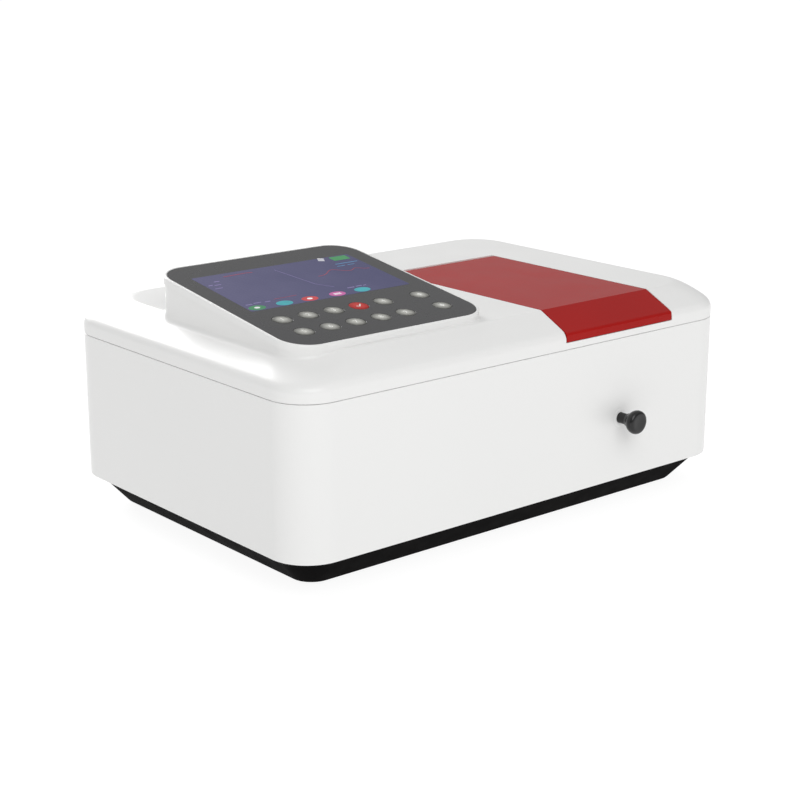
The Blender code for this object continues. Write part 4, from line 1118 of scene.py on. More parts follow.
def screen_marks():
    """What the screen shows: soft-key ovals, a status block, a small chart trace and rows of tick marks."""
    thick = 0.04 * MM
    marks = []
    hues = ("#2E8C55", "#2AA9B4", "#C92E36", "#C85BA4", "#2AA9B4")
    for k, (u, hexcode) in enumerate(zip((-69.0, -43.3, -19.0, 8.1, 33.1), hues)):
        oval = cylinder(7.5 * MM, thick, 40)
        placed(oval, Matrix.Diagonal((1.0, 0.62, 1, 1)), move(u * MM, -10.5 * MM))
        marks.append((f"soft_key_{k + 1}", oval, lit_mark(f"soft_key_light_{k + 1}", hexcode)))
    white = lit_mark("white_screen_light", "#F4F4F8", 1.0)
    dots = [
        placed(cylinder(2.1 * MM, thick, 24), Matrix.Diagonal((1.2, 0.8, 1, 1)), move(u * MM, -10.4 * MM, thick))
        for u in (-69.0, -19.0)
    ]
    bars = [placed(block((-3.4 * MM, -0.5 * MM, 0), (3.4 * MM, 0.5 * MM, thick)), move(8.1 * MM, (-10.5 + s) * MM, thick)) for s in (-0.9, 0.9)]
    icon = [
        placed(block((0, 0, 0), (5.4 * MM, 1.3 * MM, thick)), turn(-28, "Z"), move((44 + 1.2 * k) * MM, (62 + 2.2 * k) * MM, thick))
        for k in range(3)
    ]
    marks.append(("screen_white", gathered(*dots, *bars, *icon), white))
    block_shape = slab(rounded(rectangle((57 * MM, 56.5 * MM), (74 * MM, 65.5 * MM)), 1.2 * MM), thick)
    marks.append(("status_block", block_shape, lit_mark("green_screen_light", "#2C9050")))
    lines = [ribbon([(52 * MM, 49 * MM), (75 * MM, 49 * MM)], 1.0 * MM, thick)]
    lines += [ribbon([(a * MM, 44 * MM), (b * MM, 44 * MM)], 0.8 * MM, thick) for a, b in ((50, 58), (61, 68))]
    marks.append(("screen_blue_lines", gathered(*lines), lit_mark("pale_blue_screen_light", "#5FA6D8", 0.7)))
    trace = [(20 + 2.2 * k, 30 + 9 * math.exp(-((k - 9) / 4.0) ** 2) + 5 * math.exp(-((k - 19) / 2.4) ** 2)) for k in range(25)]
    traces = [ribbon([(u * MM, v * MM) for u, v in trace], 0.9 * MM, thick)]
    traces += [ribbon([(-52 * MM, 60 * MM), (-30 * MM, 61 * MM), (-24 * MM, 60 * MM)], 1.2 * MM, thick)]
    traces += [ribbon([(-46 * MM, 0), (-24 * MM, 0.4 * MM)], 0.8 * MM, thick)]
    marks.append(("screen_traces", gathered(*traces), lit_mark("red_screen_light", "#A8365E", 0.62)))
    ticks = [block((u * MM, v * MM, 0), ((u + w) * MM, (v + 1.3) * MM, thick)) for u, v, w in (
        (-75, 46, 4), (-70, 45, 6), (-74, 38, 7), (-66, 52, 5), (-74, -3, 6), (-66, -2, 7), (-56, -3, 5),
        (24, -3.5, 7), (33, -3, 6), (40, -3.5, 3),
    )]
    ticks += [ribbon([(-4 * MM, 58 * MM), (6 * MM, 16 * MM), (16 * MM, 4 * MM)], 0.5 * MM, thick)]
    marks.append(("screen_ticks", gathered(*ticks), lit_mark("violet_screen_light", "#9C8CCB", 0.6)))
    return marks


class SPECTRO_OT_keys(bpy.types.Operator):
    """Twelve domed silicone keys, each on its own body, with their legends"""

    bl_idname = "mesh.spectro_keys"
    bl_label = "Keypad"

    def execute(self, context):
        radius = settings().key_radius
        arrow = [(-2.4, -0.4), (0, 2.6), (2.4, -0.4), (0.8, -0.4), (0.8, -2.6), (-0.8, -2.6), (-0.8, -0.4)]
        arrow = [(x * MM, y * MM) for x, y in arrow]
        number = 0
        for k, (u, v) in enumerate(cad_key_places()):
            name = f"key_{k + 1:02d}"
            points = []
            for angle in range(0, 91, 9):
                a = math.radians(angle)
                points.append(((radius - 0.6 * MM) * math.sin(a), 0.05 * MM + 0.26 * MM * math.cos(a)))
            points += [
                (radius - 0.25 * MM, 0.0), (radius, -0.3 * MM), (radius, -2.9 * MM),
                (radius + 1.2 * MM, -2.9 * MM), (radius + 1.2 * MM, -4.2 * MM), (0, -4.2 * MM),
            ]
            dome = turn_profile(points, 48)
            # Distance from the key's axis, which the key material uses for its painted highlight
            reach = dome.verts.layers.float.new("from_axis")
            for vert in dome.verts:
                vert[reach] = vert.co.xy.length / radius
            spot = PANEL @ move(u, v)
            kind = "key_red" if k == 3 else "key_grey"
            add_piece(name + "_dome", placed(dome, spot), material_of(kind), name + "_body", [name], sharp=40)
            if k in (5, 11):
                legend = slab(arrow, 0.25 * MM)
                if k == 11:
                    placed(legend, turn(180, "Z"))
            elif k == 3:
                legend = gathered(
                    ribbon([(-2.6 * MM, -0.4 * MM), (-0.6 * MM, -2.0 * MM), (2.8 * MM, 2.2 * MM)], 1.1 * MM, 0.25 * MM)
                )
            else:
                number += 1
                legend = glyph(str(number), 7.0 * MM, 0.25 * MM)
            legend = placed(legend, spot @ move(z=0.16 * MM))
            add_piece(name + "_legend", legend, material_of("ink"), name + "_body")
        return {"FINISHED"}


class SPECTRO_OT_compartment(bpy.types.Operator):
    """Light-tight tray with its beam windows, rails, cuvette carriage, cuvettes, pull rod, knob and bush"""

    bl_idname = "mesh.spectro_compartment"
    bl_label = "Sample compartment"

    def execute(self, context):
        wall = 3 * MM
        low = TRAY_LOW.copy()
        high = TRAY_HIGH.copy()
        floor = 60 * MM
        shell = stack(
            [((low.x, low.y), (high.x, high.y), 2 * MM, z) for z in (floor - wall, high.z - 0.4 * MM)]
            + [((low.x + 0.4 * MM, low.y + 0.4 * MM), (high.x - 0.4 * MM, high.y - 0.4 * MM), 1.6 * MM, high.z)], 4
        )
        inside = stack(
            [((low.x + wall, low.y + wall), (high.x - wall, high.y - wall), 3 * MM, z) for z in (floor, high.z + 20 * MM)], 5
        )
        beam = placed(cylinder(6 * MM, high.x - low.x + 20 * MM, 40), FACING_RIGHT, move(low.x - 10 * MM, BEAM.y + MIDDLE.y, BEAM.z))
        hole = placed(cylinder(5.5 * MM, 20 * MM, 40), FACING_FRONT, move(ROD.x, low.y + 10 * MM, ROD.z))
        shell = combined(shell, "DIFFERENCE", inside, beam, hole)
        legs = [
            block((low.x + 10 * MM, MIDDLE.y + y * MM, 6.3 * MM), (high.x - 10 * MM, MIDDLE.y + (y + 12) * MM, floor - 2.5 * MM), 0.8 * MM)
            for y in (-120, 2)
        ]
        baffles = [
            block((x, low.y + wall - 0.2 * MM, 118 * MM), (x + 1.2 * MM, low.y + wall + 5 * MM, 150 * MM))
            for x in (low.x + 30 * MM, high.x - 31.2 * MM)
        ]
        add_piece(
            "compartment_tray", gathered(shell, *legs, *baffles), material_of("black"), "base",
            ["sample_tray"], flat_faces=True, sharp=28,
        )
        ring = [(5.9, -0.2), (8.4, -0.2), (8.4, 0.7), (7.9, 1.1), (6.3, 1.1), (5.9, 0.8)]
        for side, x, way in (("left", low.x + wall, 90), ("right", high.x - wall, -90)):
            spot = move(x, BEAM.y + MIDDLE.y, BEAM.z) @ turn(way, "Y")
            collar = placed(turn_profile([(r * MM, z * MM) for r, z in ring], 40), spot)
            add_piece(f"beam_collar_{side}", collar, material_of("anodised"), "base")
            pane = placed(cylinder(5.85 * MM, 1.0 * MM, 40, 0.1 * MM), move(z=-1.6 * MM), spot)
            add_piece(f"beam_window_{side}", pane, material_of("quartz"), "base")
        for node in ("carriage_rail_left", "carriage_rail_right"):
            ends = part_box(node)
            rail = placed(
                cylinder(3 * MM, ends[1].y - ends[0].y, 32, 0.4 * MM), FACING_BACK,
                move((ends[0].x + ends[1].x) / 2, ends[0].y, 70 * MM),
            )
            add_piece(node + "_ground", rail, material_of("steel"), "base", [node])
        self.carriage()
        self.rod()
        return {"FINISHED"}

    def carriage(self):
        low = CELLS_LOW
        high = CELLS_HIGH
        x = ROD.x
        first = BEAM.y + MIDDLE.y
        foot = slab(rounded(rectangle((low.x, low.y), (high.x, high.y)), 2 * MM), 10.4 * MM, 0.4 * MM)
        placed(foot, move(z=low.z))
        column = placed(
            slab(rounded(rectangle((x - 10.5 * MM, low.y), (x + 10.5 * MM, high.y)), 0.8 * MM), high.z - 75 * MM, 0.4 * MM),
            move(z=75 * MM),
        )
        holder = combined(foot, "UNION", column)
        cutters = []
        for k in range(4):
            y = first + k * 19 * MM
            cutters.append(block((x - 6.45 * MM, y - 6.45 * MM, 75.6 * MM), (x + 6.45 * MM, y + 6.45 * MM, 120 * MM)))
            window = slab(rounded(rectangle((-3 * MM, -8 * MM), (3 * MM, 8 * MM)), 1.2 * MM), 44 * MM)
            cutters.append(placed(window, ALONG_X, move(x - 22 * MM, y, 90 * MM)))
        for side in (-1, 1):
            cutters.append(placed(cylinder(3.15 * MM, 200 * MM, 32), FACING_BACK, move(x + side * 20.5 * MM, -100 * MM, 70 * MM)))
        holder = combined(holder, "DIFFERENCE", *cutters)
        add_piece(
            "cell_holder", holder, material_of("anodised"), "carriage", ["cell_carriage"],
            flat_faces=True, sharp=28,
        )
        labels = []
        screws = []
        for k in range(4):
            y = first + k * 19 * MM
            labels.append(placed(glyph(str(k + 1), 6 * MM, 0.08 * MM), move(x - 16 * MM, y, low.z + 10.4 * MM)))
            screws.append(placed(cylinder(1.5 * MM, 1.2 * MM, 20, 0.2 * MM), move(x + 26 * MM, y, low.z + 10.3 * MM)))
            self.cuvette(k, x, y)
        add_piece("cell_numbers", gathered(*labels), material_of("ink"), "carriage")
        add_piece("cell_holder_screws", gathered(*screws), material_of("steel"), "carriage")

    def cuvette(self, k, x, y):
        half = 6.25 * MM
        inner = 5.0 * MM
        z = 75.8 * MM
        wall = combined(
            block((-half, -half, 0), (half, half, 45 * MM), 0.3 * MM), "DIFFERENCE",
            block((-inner, -inner, 1.5 * MM), (inner, inner, 60 * MM)),
        )
        spot = move(x, y, z)
        name = f"cuvette_{k + 1}"
        add_piece(name + "_glass", placed(wall, spot), material_of("cuvette"), "carriage", [name], sharp=28)
        gap = 0.03 * MM
        liquid = block((-inner + gap, -inner + gap, 1.53 * MM), (inner - gap, inner - gap, (30 - 2 * k) * MM))
        add_piece(name + "_liquid", placed(liquid, spot), material_of("liquid"), "carriage", sharp=28)

    def rod(self):
        low = ROD_LOW
        high = ROD_HIGH
        shaft = placed(cylinder(4.5 * MM, high.y - low.y, 48, 0.5 * MM), FACING_BACK, move(ROD.x, low.y, ROD.z))
        add_piece("rod_shaft", shaft, material_of("phenolic"), "carriage", ["pull_rod"])
        face = Matrix.Translation(ROD + Vector((0, MIDDLE.y, 0))) @ FACING_FRONT
        knob = [
            (0, 21.5), (2.0, 21.55), (5.2, 21.75), (6.9, 21.95), (8.3, 21.7), (9.3, 20.9), (9.85, 19.6), (10.0, 18.2),
            (9.7, 16.6), (8.9, 14.9), (7.6, 13.3), (6.5, 12.0), (5.9, 10.8), (5.6, 9.4), (5.4, 8.95), (4.9, 8.8), (0, 8.8),
        ]
        turned = turn_profile([(r * MM, z * MM) for r, z in knob], 64)
        add_piece("rod_knob", placed(turned, face), material_of("phenolic"), "carriage", ["pull_knob"])
        bush = [(4.7, 0.5), (7.4, 0.5), (8.0, 0.42), (8.2, 0.3), (6.9, 0.3), (6.9, -6.0), (4.7, -6.0)]
        sleeve = turn_profile([(r * MM, z * MM) for r, z in bush], 64)
        add_piece("rod_sleeve", placed(sleeve, face), material_of("white"), "base", ["rod_bush"], sharp=28)


class SPECTRO_OT_optics(bpy.types.Operator):
    """Coloured filters, detector window and lamps of the light path, with finishes for the optical parts"""

    bl_idname = "mesh.spectro_optics"
    bl_label = "Optics and lamps"

    def execute(self, context):
        low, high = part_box("filter_wheel")
        middle = (low + high) / 2
        wheel = Matrix.Translation(middle) @ FACING_FRONT
        hues = ("#B3202A", "#C98A1E", "#2A7A3A", "#2A4FA8", "#6A2E8C", "#D9D9D0")
        for k, hexcode in enumerate(hues):
            disc = placed(cylinder(4.85 * MM, 1.2 * MM, 32, 0.15 * MM), move(17 * MM, 0, -0.6 * MM), turn(60 * k, "Z"), wheel)
            glass = surface(
                f"filter_glass_{k + 1}", hexcode, 0.06, tone=0.05, tone_mm=6, grain_mm=2, grain_depth=0.0004,
                rough_swing=0.02, transmission=0.6,
            )
            add_piece(f"filter_disc_{k + 1}", disc, glass, "filters")
        low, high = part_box("detector_housing")
        spot = move(low.x + 4 * MM, BEAM.y + MIDDLE.y, BEAM.z) @ FACING_RIGHT
        diode = placed(cylinder(7.2 * MM, 2 * MM, 40, 0.2 * MM), spot)
        add_piece("photodiode_window", diode, material_of("quartz"), "base")
        chip = placed(block((-3 * MM, -3 * MM, 2.4 * MM), (3 * MM, 3 * MM, 3.0 * MM)), spot)
        add_piece("photodiode_chip", chip, material_of("chip"), "base")
        self.lamps()
        return {"FINISHED"}

    def lamps(self):
        spot, radius = self.axis("tungsten_lamp")
        bulb = [(0, 50.0), (1.2, 49.8), (3.2, 48.6), (4.8, 46.2), (5.5, 43.0), (5.5, 20.9), (4.9, 20.9), (4.9, 43.0),
                (4.2, 45.8), (2.8, 47.9), (0, 49.2)]
        glass = turn_profile([(r * MM, z * MM) for r, z in bulb], 40)
        add_piece("tungsten_envelope", placed(glass, spot), material_of("quartz"), "base", ["tungsten_lamp"])
        foot = [(0, 0), (7.0, 0), (7.5, 0.6), (7.5, 20.0), (6.8, 20.8), (0, 20.8)]
        add_piece(
            "tungsten_base", placed(turn_profile([(r * MM, z * MM) for r, z in foot], 40), spot),
            material_of("ceramic"), "base",
        )
        leads = [placed(cylinder(0.4 * MM, 12 * MM, 12), move(s * 2 * MM, 0, 20.5 * MM)) for s in (-1, 1)]
        coil = []
        for k in range(9):
            ring = [(0.55, -0.12), (0.79, -0.12), (0.79, 0.12), (0.55, 0.12)]
            hoop = turn_profile([(r * MM, z * MM) for r, z in ring], 16)
            coil.append(placed(hoop, FACING_RIGHT, move((k - 4) * 0.45 * MM, 0, 32 * MM)))
        add_piece("tungsten_filament", placed(gathered(*leads, *coil), spot), material_of("tungsten"), "base")

        spot, radius = self.axis("deuterium_lamp")
        bulb = [(0, 66.0), (3.0, 65.8), (7.5, 64.8), (11.0, 62.0), (12.7, 58.0), (13.0, 54.0), (13.0, 15.3), (12.2, 15.3),
                (12.2, 54.0), (11.8, 57.6), (10.2, 61.2), (7.0, 63.8), (0, 65.0)]
        glass = turn_profile([(r * MM, z * MM) for r, z in bulb], 48)
        add_piece("deuterium_envelope", placed(glass, spot), material_of("quartz"), "base", ["deuterium_lamp"])
        foot = [(0, 0), (9.6, 0), (10, 0.4), (10, 10.2), (16.4, 11.0), (17, 11.5), (17, 14.6), (16.6, 15.0), (0, 15.0)]
        add_piece(
            "deuterium_base", placed(turn_profile([(r * MM, z * MM) for r, z in foot], 48), spot),
            material_of("zinc"), "base",
        )
        can = combined(
            block((-7 * MM, -5 * MM, 26 * MM), (7 * MM, 5 * MM, 52 * MM), 0.6 * MM), "DIFFERENCE",
            placed(cylinder(1.5 * MM, 20 * MM, 24), FACING_FRONT, move(0, 10 * MM, 40 * MM)),
        )
        stem = [placed(cylinder(0.6 * MM, 11.5 * MM, 12), move(s * 4 * MM, 0, 14.8 * MM)) for s in (-1, 0, 1)]
        add_piece("deuterium_electrodes", placed(gathered(can, *stem), spot), material_of("tungsten"), "base")

    def axis(self, node):
        low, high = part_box(node)
        return move((low.x + high.x) / 2, (low.y + high.y) / 2, low.z), (high.x - low.x) / 2


class SPECTRO_OT_electronics(bpy.types.Operator):
    """Main board with its parts, and the perforated power supply"""

    bl_idname = "mesh.spectro_electronics"
    bl_label = "Electronics"

    def execute(self, context):
        y0 = MIDDLE.y
        left, right, front, back = -200 * MM, -110 * MM, y0 - 112 * MM, y0 + 30 * MM
        base = 32 * MM
        top = base + 1.6 * MM
        board = slab(rounded(rectangle((left, front), (right, back)), 2 * MM), 1.6 * MM)
        placed(board, move(z=base))
        holes = [
            placed(cylinder(1.7 * MM, 6 * MM, 24), move(x, y, base - 2 * MM))
            for x in (left + 6 * MM, right - 6 * MM) for y in (front + 6 * MM, back - 6 * MM)
        ]
        board = combined(board, "DIFFERENCE", *holes)
        add_piece("main_board_laminate", board, material_of("board"), "base", ["main_board"])
        posts = [
            placed(turn_profile([(0, 6.4 * MM), (3 * MM, 6.4 * MM), (3 * MM, base - 0.05 * MM), (0, base - 0.05 * MM)], 6), move(x, y))
            for x in (left + 6 * MM, right - 6 * MM) for y in (front + 6 * MM, back - 6 * MM)
        ]
        add_piece("main_board_posts", gathered(*posts), material_of("brass"), "base", flat_faces=True)
        chips = []
        legs = []
        for x, y, wide, deep, pins in ((-165, -70, 26, 26, 12), (-130, -78, 14, 9, 5), (-168, -36, 18, 12, 7), (-130, -58, 10, 6, 4)):
            middle = Vector((x * MM, y0 + y * MM, top))
            half = Vector((wide / 2, deep / 2, 0)) * MM
            chips.append(block(middle - half + Vector((0, 0, 0.3 * MM)), middle + half + Vector((0, 0, 2.8 * MM)), 0.3 * MM))
            for k in range(pins):
                share = (k + 0.5) / pins * 2 - 1
                for side in (-1, 1):
                    spot = middle + Vector((share * half.x, side * (half.y + 0.7 * MM), 0.5 * MM))
                    legs.append(block(spot - Vector((0.25, 0.9, 0.5)) * MM, spot + Vector((0.25, 0.9, 0.3)) * MM))
        add_piece("main_board_chips", gathered(*chips), material_of("chip"), "base")
        add_piece("main_board_pins", gathered(*legs), material_of("zinc"), "base")
        cans = []
        tops = []
        for x, y, radius, tall in ((-128, -36, 5, 11), (-128, -22, 4, 9), (-141, -36, 4, 9), (-122, 12, 6, 14), (-138, 14, 5, 12)):
            profile = [(0, 0), (radius - 0.3, 0), (radius, 0.4), (radius, 1.6), (radius - 0.4, 2.1), (radius, 2.6),
                       (radius, tall - 0.5), (radius - 0.6, tall), (0, tall)]
            spot = move(x * MM, y0 + y * MM, top)
            cans.append(placed(turn_profile([(r * MM, z * MM) for r, z in profile], 28), spot))
            tops.append(placed(cylinder((radius - 0.9) * MM, 0.12 * MM, 24), move(z=tall * MM), spot))
        add_piece("main_board_capacitors", gathered(*cans), material_of("sleeve"), "base", sharp=40)
        add_piece("main_board_can_tops", gathered(*tops), material_of("zinc"), "base")
        plugs = []
        for x, y, wide, deep in ((-175, -16, 12, 40), (-184, 18, 20, 8)):
            low = Vector((x - wide / 2, y - deep / 2, 0)) * MM + Vector((0, y0, top))
            high = Vector((x + wide / 2, y + deep / 2, 8.5)) * MM + Vector((0, y0, top))
            slot_cut = block(low + Vector((1.2, 1.2, 2)) * MM, high + Vector((-1.2, -1.2, 4)) * MM)
            plugs.append(combined(block(low, high, 0.4 * MM), "DIFFERENCE", slot_cut))
        add_piece("main_board_sockets", gathered(*plugs), material_of("ceramic"), "base")

        low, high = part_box("power_supply")
        box = block(low, high, 1.0 * MM)
        holes = []
        for k in range(12):
            for row in range(5):
                x = low.x + (12 + 9 * k) * MM
                y = low.y + (11 + 10 * row) * MM
                holes.append(placed(cylinder(2.6 * MM, 6 * MM, 12), move(x, y, high.z - 3 * MM)))
        box = combined(box, "DIFFERENCE", gathered(*holes))
        add_piece("supply_case", box, material_of("zinc"), "base", ["power_supply"], sharp=28)
        return {"FINISHED"}


class SPECTRO_OT_back_panel(bpy.types.Operator):
    """Mains inlet with its pins, rocker switch, USB socket, and fan with curved blades"""

    bl_idname = "mesh.spectro_back_panel"
    bl_label = "Back panel"

    def execute(self, context):
        wall = MIDDLE.y + HALF_DEPTH
        self.inlet(wall)
        self.switch(wall)
        self.usb(wall)
        self.fan()
        return {"FINISHED"}

    def inlet(self, wall):
        spot = move(150 * MM, wall, 80 * MM) @ FACING_BACK
        flange = slab(rounded(rectangle((-25 * MM, -14 * MM), (25 * MM, 14 * MM)), 3 * MM), 1.2 * MM, 0.3 * MM)
        placed(flange, move(z=0.3 * MM))
        corners = [(-13.5, -10), (13.5, -10), (13.5, 6.5), (10, 10), (-10, 10), (-13.5, 6.5)]
        body = slab(rounded([(x * MM, -y * MM) for x, y in corners][::-1], 1.2 * MM), 25 * MM)
        body = combined(flange, "UNION", placed(body, move(z=-24 * MM)))
        corners = [(-12, -8), (12, -8), (12, 4.8), (8.8, 8), (-8.8, 8), (-12, 4.8)]
        cavity = placed(slab(rounded([(x * MM, -y * MM) for x, y in corners][::-1], 1.0 * MM), 40 * MM), move(z=-16 * MM))
        holes = [placed(cylinder(1.6 * MM, 6 * MM, 24), move(x * MM, 0, -2 * MM)) for x in (-20, 20)]
        body = combined(body, "DIFFERENCE", cavity, *holes)
        add_piece("inlet_body", placed(body, spot), material_of("black"), "base", ["mains_inlet"], sharp=28)
        pins = [
            block(((x - 1) * MM, (-z - 2) * MM, -16.2 * MM), ((x + 1) * MM, (-z + 2) * MM, -4 * MM), 0.4 * MM)
            for x, z in ((-7, -1), (0, 3), (7, -1))
        ]
        add_piece("inlet_pins", placed(gathered(*pins), spot), material_of("brass"), "base")
        heads = [
            combined(
                placed(cylinder(1.55 * MM, 1.0 * MM, 24, 0.2 * MM), move(x * MM, 0, 0.75 * MM)), "DIFFERENCE",
                block(((x - 1.1) * MM, -0.2 * MM, 1.3 * MM), ((x + 1.1) * MM, 0.2 * MM, 3 * MM)),
            )
            for x in (-20, 20)
        ]
        add_piece("inlet_screws", placed(gathered(*heads), spot), material_of("steel"), "base")

    def switch(self, wall):
        spot = move(95 * MM, wall, 80 * MM) @ FACING_BACK
        flange = slab(rounded(rectangle((-12 * MM, -8.8 * MM), (12 * MM, 8.8 * MM)), 1.2 * MM), 1.2 * MM, 0.4 * MM)
        placed(flange, move(z=0.3 * MM))
        body = block((-9.5 * MM, -6.3 * MM, -16 * MM), (9.5 * MM, 6.3 * MM, 1.0 * MM))
        cavity = block((-8.3 * MM, -5.2 * MM, -12 * MM), (8.3 * MM, 5.2 * MM, 12 * MM))
        shell = combined(combined(flange, "UNION", body), "DIFFERENCE", cavity)
        add_piece("switch_surround", placed(shell, spot), material_of("black"), "base", ["switch_frame"], sharp=28)
        reach = 7.4
        outline = [(-reach, 4.6), (0, 3.2), (reach, 4.6), (reach * 0.9, 0), (3, -3.5), (-3, -3.5), (-reach * 0.9, 0)]
        outline = rounded([(x * MM, y * MM) for x, y in outline], [v * MM for v in (0.5, 12, 0.5, 0.4, 0.4, 0.4, 0.4)], 8)
        tilt = Matrix.Translation((95 * MM, wall - 4.6 * MM, 80 * MM)) @ turn(9, "Z")
        rocker = placed(slab(outline, 9.8 * MM, 0.3 * MM), move(z=-4.9 * MM), tilt)
        add_piece("rocker_cap", rocker, material_of("black"), "rocker", ["switch_rocker"], sharp=28)
        lean = math.degrees(math.atan2(1.4, reach))
        bar = block((-0.3 * MM, -2.1 * MM, 0), (0.3 * MM, 2.1 * MM, 0.1 * MM))
        ring = turn_profile([(1.5 * MM, 0), (2.05 * MM, 0), (2.05 * MM, 0.1 * MM), (1.5 * MM, 0.1 * MM)], 32)
        placed(bar, FACING_BACK, turn(lean, "Z"), move(3.9 * MM, 3.95 * MM), tilt)
        placed(ring, FACING_BACK, turn(-lean, "Z"), move(-3.9 * MM, 3.95 * MM), tilt)
        add_piece("rocker_marks", gathered(bar, ring), material_of("ink"), "rocker")

    def usb(self, wall):
        spot = move(55 * MM, wall, 80 * MM) @ FACING_BACK
        shell = slab(rounded(rectangle((-6 * MM, -5.5 * MM), (6 * MM, 5.5 * MM)), 0.8 * MM), 16.6 * MM, 0.2 * MM)
        placed(shell, move(z=-16 * MM))
        corners = [(-4.5, -4), (4.5, -4), (4.5, 2.6), (3, 4), (-3, 4), (-4.5, 2.6)]
        cavity = placed(slab([(x * MM, -y * MM) for x, y in corners][::-1], 30 * MM), move(z=-12 * MM))
        shell = combined(shell, "DIFFERENCE", cavity)
        add_piece("usb_shell", placed(shell, spot), material_of("zinc"), "base", ["usb_socket"], sharp=28)
        tongue = block((-2.6 * MM, -1.4 * MM, -12.2 * MM), (2.6 * MM, 1.4 * MM, -2.5 * MM), 0.2 * MM)
        add_piece("usb_tongue", placed(tongue, spot), material_of("ceramic"), "base")

    def fan(self):
        low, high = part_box("fan_frame")
        centre = Vector(((low.x + high.x) / 2, low.y, (low.z + high.z) / 2))
        half = 30 * MM
        deep = high.y - low.y
        spot = Matrix.Translation(centre) @ FACING_BACK
        ring = slab(rounded(rectangle((-half, -half), (half, half)), 4 * MM), deep, 0.4 * MM)
        cutters = [placed(cylinder(28.3 * MM, 30 * MM, 96), move(z=-5 * MM))]
        cutters += [
            placed(cylinder(2.2 * MM, 30 * MM, 24), move(x * 25 * MM, y * 25 * MM, -5 * MM)) for x in (-1, 1) for y in (-1, 1)
        ]
        ring = combined(ring, "DIFFERENCE", *cutters)
        front_face = 0.4 * MM
        hub = placed(cylinder(14 * MM, 1.8 * MM, 48, 0.3 * MM), move(z=front_face))
        struts = [
            placed(block((13 * MM, -1.5 * MM, front_face + 0.1 * MM), (29 * MM, 1.5 * MM, front_face + 1.7 * MM)), turn(90 + 120 * k, "Z"))
            for k in range(3)
        ]
        ring = combined(ring, "UNION", *struts, hub)
        add_piece("fan_housing", placed(ring, spot), material_of("black"), "base", ["fan_frame"], sharp=28)
        low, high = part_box("fan_rotor")
        axis = Vector(((low.x + high.x) / 2, (low.y + high.y) / 2, (low.z + high.z) / 2))
        wheel = Matrix.Translation(axis) @ FACING_BACK
        boss = [(0, -5.5), (11.9, -5.5), (12.5, -5.0), (12.5, 4.7), (11.7, 5.5), (0, 5.5)]
        pieces = [turn_profile([(r * MM, z * MM) for r, z in boss], 48)]
        for k in range(7):
            blade = bmesh.new()
            bmesh.ops.create_grid(blade, x_segments=10, y_segments=8, size=0.5)
            for vert in blade.verts:
                out = 12.0 + (vert.co.x + 0.5) * 14.4
                sweep = vert.co.y * math.radians(44) + (vert.co.x + 0.5) * math.radians(10)
                rise = vert.co.y * 8.4 + 1.2 * math.cos(vert.co.y * math.pi)
                vert.co = (out * math.cos(sweep) * MM, out * math.sin(sweep) * MM, rise * MM)
            bmesh.ops.solidify(blade, geom=blade.faces, thickness=0.9 * MM)
            bmesh.ops.recalc_face_normals(blade, faces=blade.faces)
            pieces.append(placed(blade, turn(360 * k / 7, "Z")))
        add_piece("fan_wheel", placed(gathered(*pieces), wheel), material_of("black"), "fan", ["fan_rotor"], sharp=35)


class SPECTRO_OT_finishes(bpy.types.Operator):
    """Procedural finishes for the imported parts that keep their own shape"""

    bl_idname = "mesh.spectro_finishes"
    bl_label = "Finishes of kept parts"

    def execute(self, context):
        kept = {
            "cast": ("monochromator_case", "monochromator_lid"),
            "brass": ("grating_table", "drive_pinion"),
            "grating": ("diffraction_grating",),
            "zinc": ("wavelength_motor", "filter_wheel_motor", "lamp_house"),
            "mirror": ("collimating_mirror", "lamp_mirror"),
            "anodised": ("filter_wheel", "detector_housing"),
            "board": ("keypad_board",),
            "ribbon": ("display_ribbon",),
        }
        for key, nodes in kept.items():
            for node in nodes:
                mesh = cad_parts[node].data
                mesh.materials.clear()
                mesh.materials.append(material_of(key))
        return {"FINISHED"}


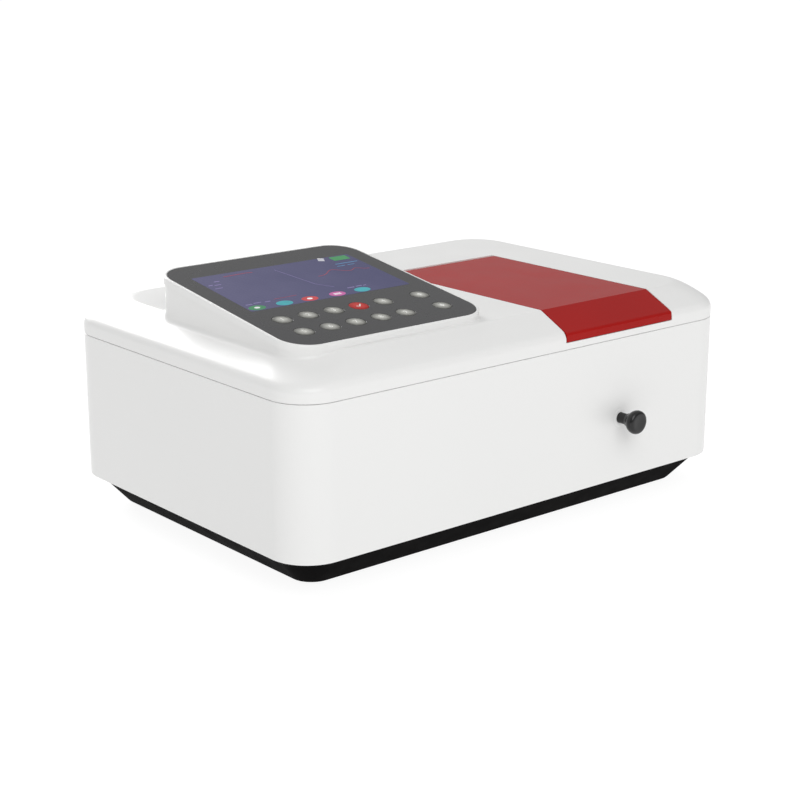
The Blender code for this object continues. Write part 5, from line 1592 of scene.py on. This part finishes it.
class SPECTRO_OT_stage(bpy.types.Operator):
    """Pale floor, soft studio light and the camera"""

    bl_idname = "scene.spectro_stage"
    bl_label = "Stage"

    def execute(self, context):
        scene = context.scene
        floor = bmesh.new()
        bmesh.ops.create_grid(floor, x_segments=1, y_segments=1, size=40)
        mesh = bpy.data.meshes.new("studio_floor")
        floor.to_mesh(mesh)
        floor.free()
        paint = Shader("painted_studio_floor")
        drift = paint.ramp(paint.noise(900), 0.3, 0.7)
        colour = colours().floor
        paint.set(
            Base_Color=paint.mix(drift, toned(colour, -0.86), toned(colour, -0.84)),
            Roughness=0.9,
            Emission_Color=linear("#FFFFFF"),
            Emission_Strength=0.92,
        )
        mesh.materials.append(paint.material)
        ground = bpy.data.objects.new("studio_floor", mesh)
        scene.collection.objects.link(ground)
        self.sky(scene)
        self.lamps(scene)
        data = bpy.data.cameras.new("camera")
        data.lens = 78.36
        data.sensor_width = 36
        data.clip_end = 200
        camera = bpy.data.objects.new("camera", data)
        camera.location = (-0.92386, -1.08842, 0.48951)
        camera.rotation_euler = Euler((math.radians(90 - 15.90), 0, math.radians(-39.94)))
        scene.collection.objects.link(camera)
        scene.camera = camera
        scene.view_settings.view_transform = "Standard"
        return {"FINISHED"}

    def sky(self, scene):
        """Studio walls and ceiling, brightest overhead, with a paler band above the horizon."""
        world = bpy.data.worlds.new("studio")
        scene.world = world
        world.use_nodes = True
        tree = world.node_tree
        back = tree.nodes["Background"]
        axes = tree.nodes.new("ShaderNodeSeparateXYZ")
        where = tree.nodes.new("ShaderNodeTexCoord")
        tree.links.new(where.outputs["Generated"], axes.inputs[0])
        ramp = tree.nodes.new("ShaderNodeValToRGB")
        stops = ramp.color_ramp.elements
        for place, level in ((0.0, 0.34), (0.2, 0.46), (0.42, 0.42), (0.78, 0.73)):
            stop = stops[0] if place == 0.0 else stops.new(place)
            stop.color = (level, level, level, 1.0)
        stops.remove(stops[-1])
        tree.links.new(axes.outputs["Z"], ramp.inputs["Fac"])
        tree.links.new(ramp.outputs["Color"], back.inputs["Strength"])
        back.inputs["Color"].default_value = linear("#FFFFFF")

    def lamps(self, scene):
        """Soft boxes: (name, direction to the lamp, distance, width, height, watts)."""
        for name, toward, distance, width, height, watts in (
            ("rear_softbox", (0.085, 0.880, 0.467), 2.6, 1.15, 1.3, 37),
            ("front_softbox", (-0.35, -0.80, 0.73), 3.0, 1.9, 1.9, 30),
        ):
            data = bpy.data.lights.new(name, "AREA")
            data.shape = "RECTANGLE"
            data.size = width
            data.size_y = height
            data.energy = watts
            lamp = bpy.data.objects.new(name, data)
            way = Vector(toward).normalized()
            lamp.location = way * distance
            lamp.rotation_euler = way.to_track_quat("Z", "Y").to_euler()
            scene.collection.objects.link(lamp)


class VIEW3D_PT_spectro(bpy.types.Panel):
    bl_idname = "VIEW3D_PT_spectro"
    bl_label = "Spectrophotometer"
    bl_space_type = "VIEW_3D"
    bl_region_type = "UI"
    bl_category = "Spectrophotometer"

    def draw(self, context):
        scene = context.scene
        column = self.layout.column()
        for group in (scene.spectro_sizes, scene.spectro_colours):
            for key in group.__annotations__:
                column.prop(group, key)
        for operator in OPERATORS:
            column.operator(operator.bl_idname)


OPERATORS = (
    SPECTRO_OT_skirt,
    SPECTRO_OT_cover,
    SPECTRO_OT_plinth,
    SPECTRO_OT_lid,
    SPECTRO_OT_display,
    SPECTRO_OT_keys,
    SPECTRO_OT_compartment,
    SPECTRO_OT_optics,
    SPECTRO_OT_electronics,
    SPECTRO_OT_back_panel,
    SPECTRO_OT_finishes,
    SPECTRO_OT_stage,
)
CLASSES = (SPECTRO_Sizes, SPECTRO_Colours, *OPERATORS, VIEW3D_PT_spectro)


def register():
    for cls in CLASSES:
        bpy.utils.register_class(cls)
    bpy.types.Scene.spectro_sizes = PointerProperty(type=SPECTRO_Sizes)
    bpy.types.Scene.spectro_colours = PointerProperty(type=SPECTRO_Colours)


def unregister():
    del bpy.types.Scene.spectro_colours
    del bpy.types.Scene.spectro_sizes
    for cls in reversed(CLASSES):
        bpy.utils.unregister_class(cls)


def main():
    register()
    for operator in OPERATORS:
        group, name = operator.bl_idname.split(".")
        getattr(getattr(bpy.ops, group), name)()


if __name__ == "__main__":
    main()
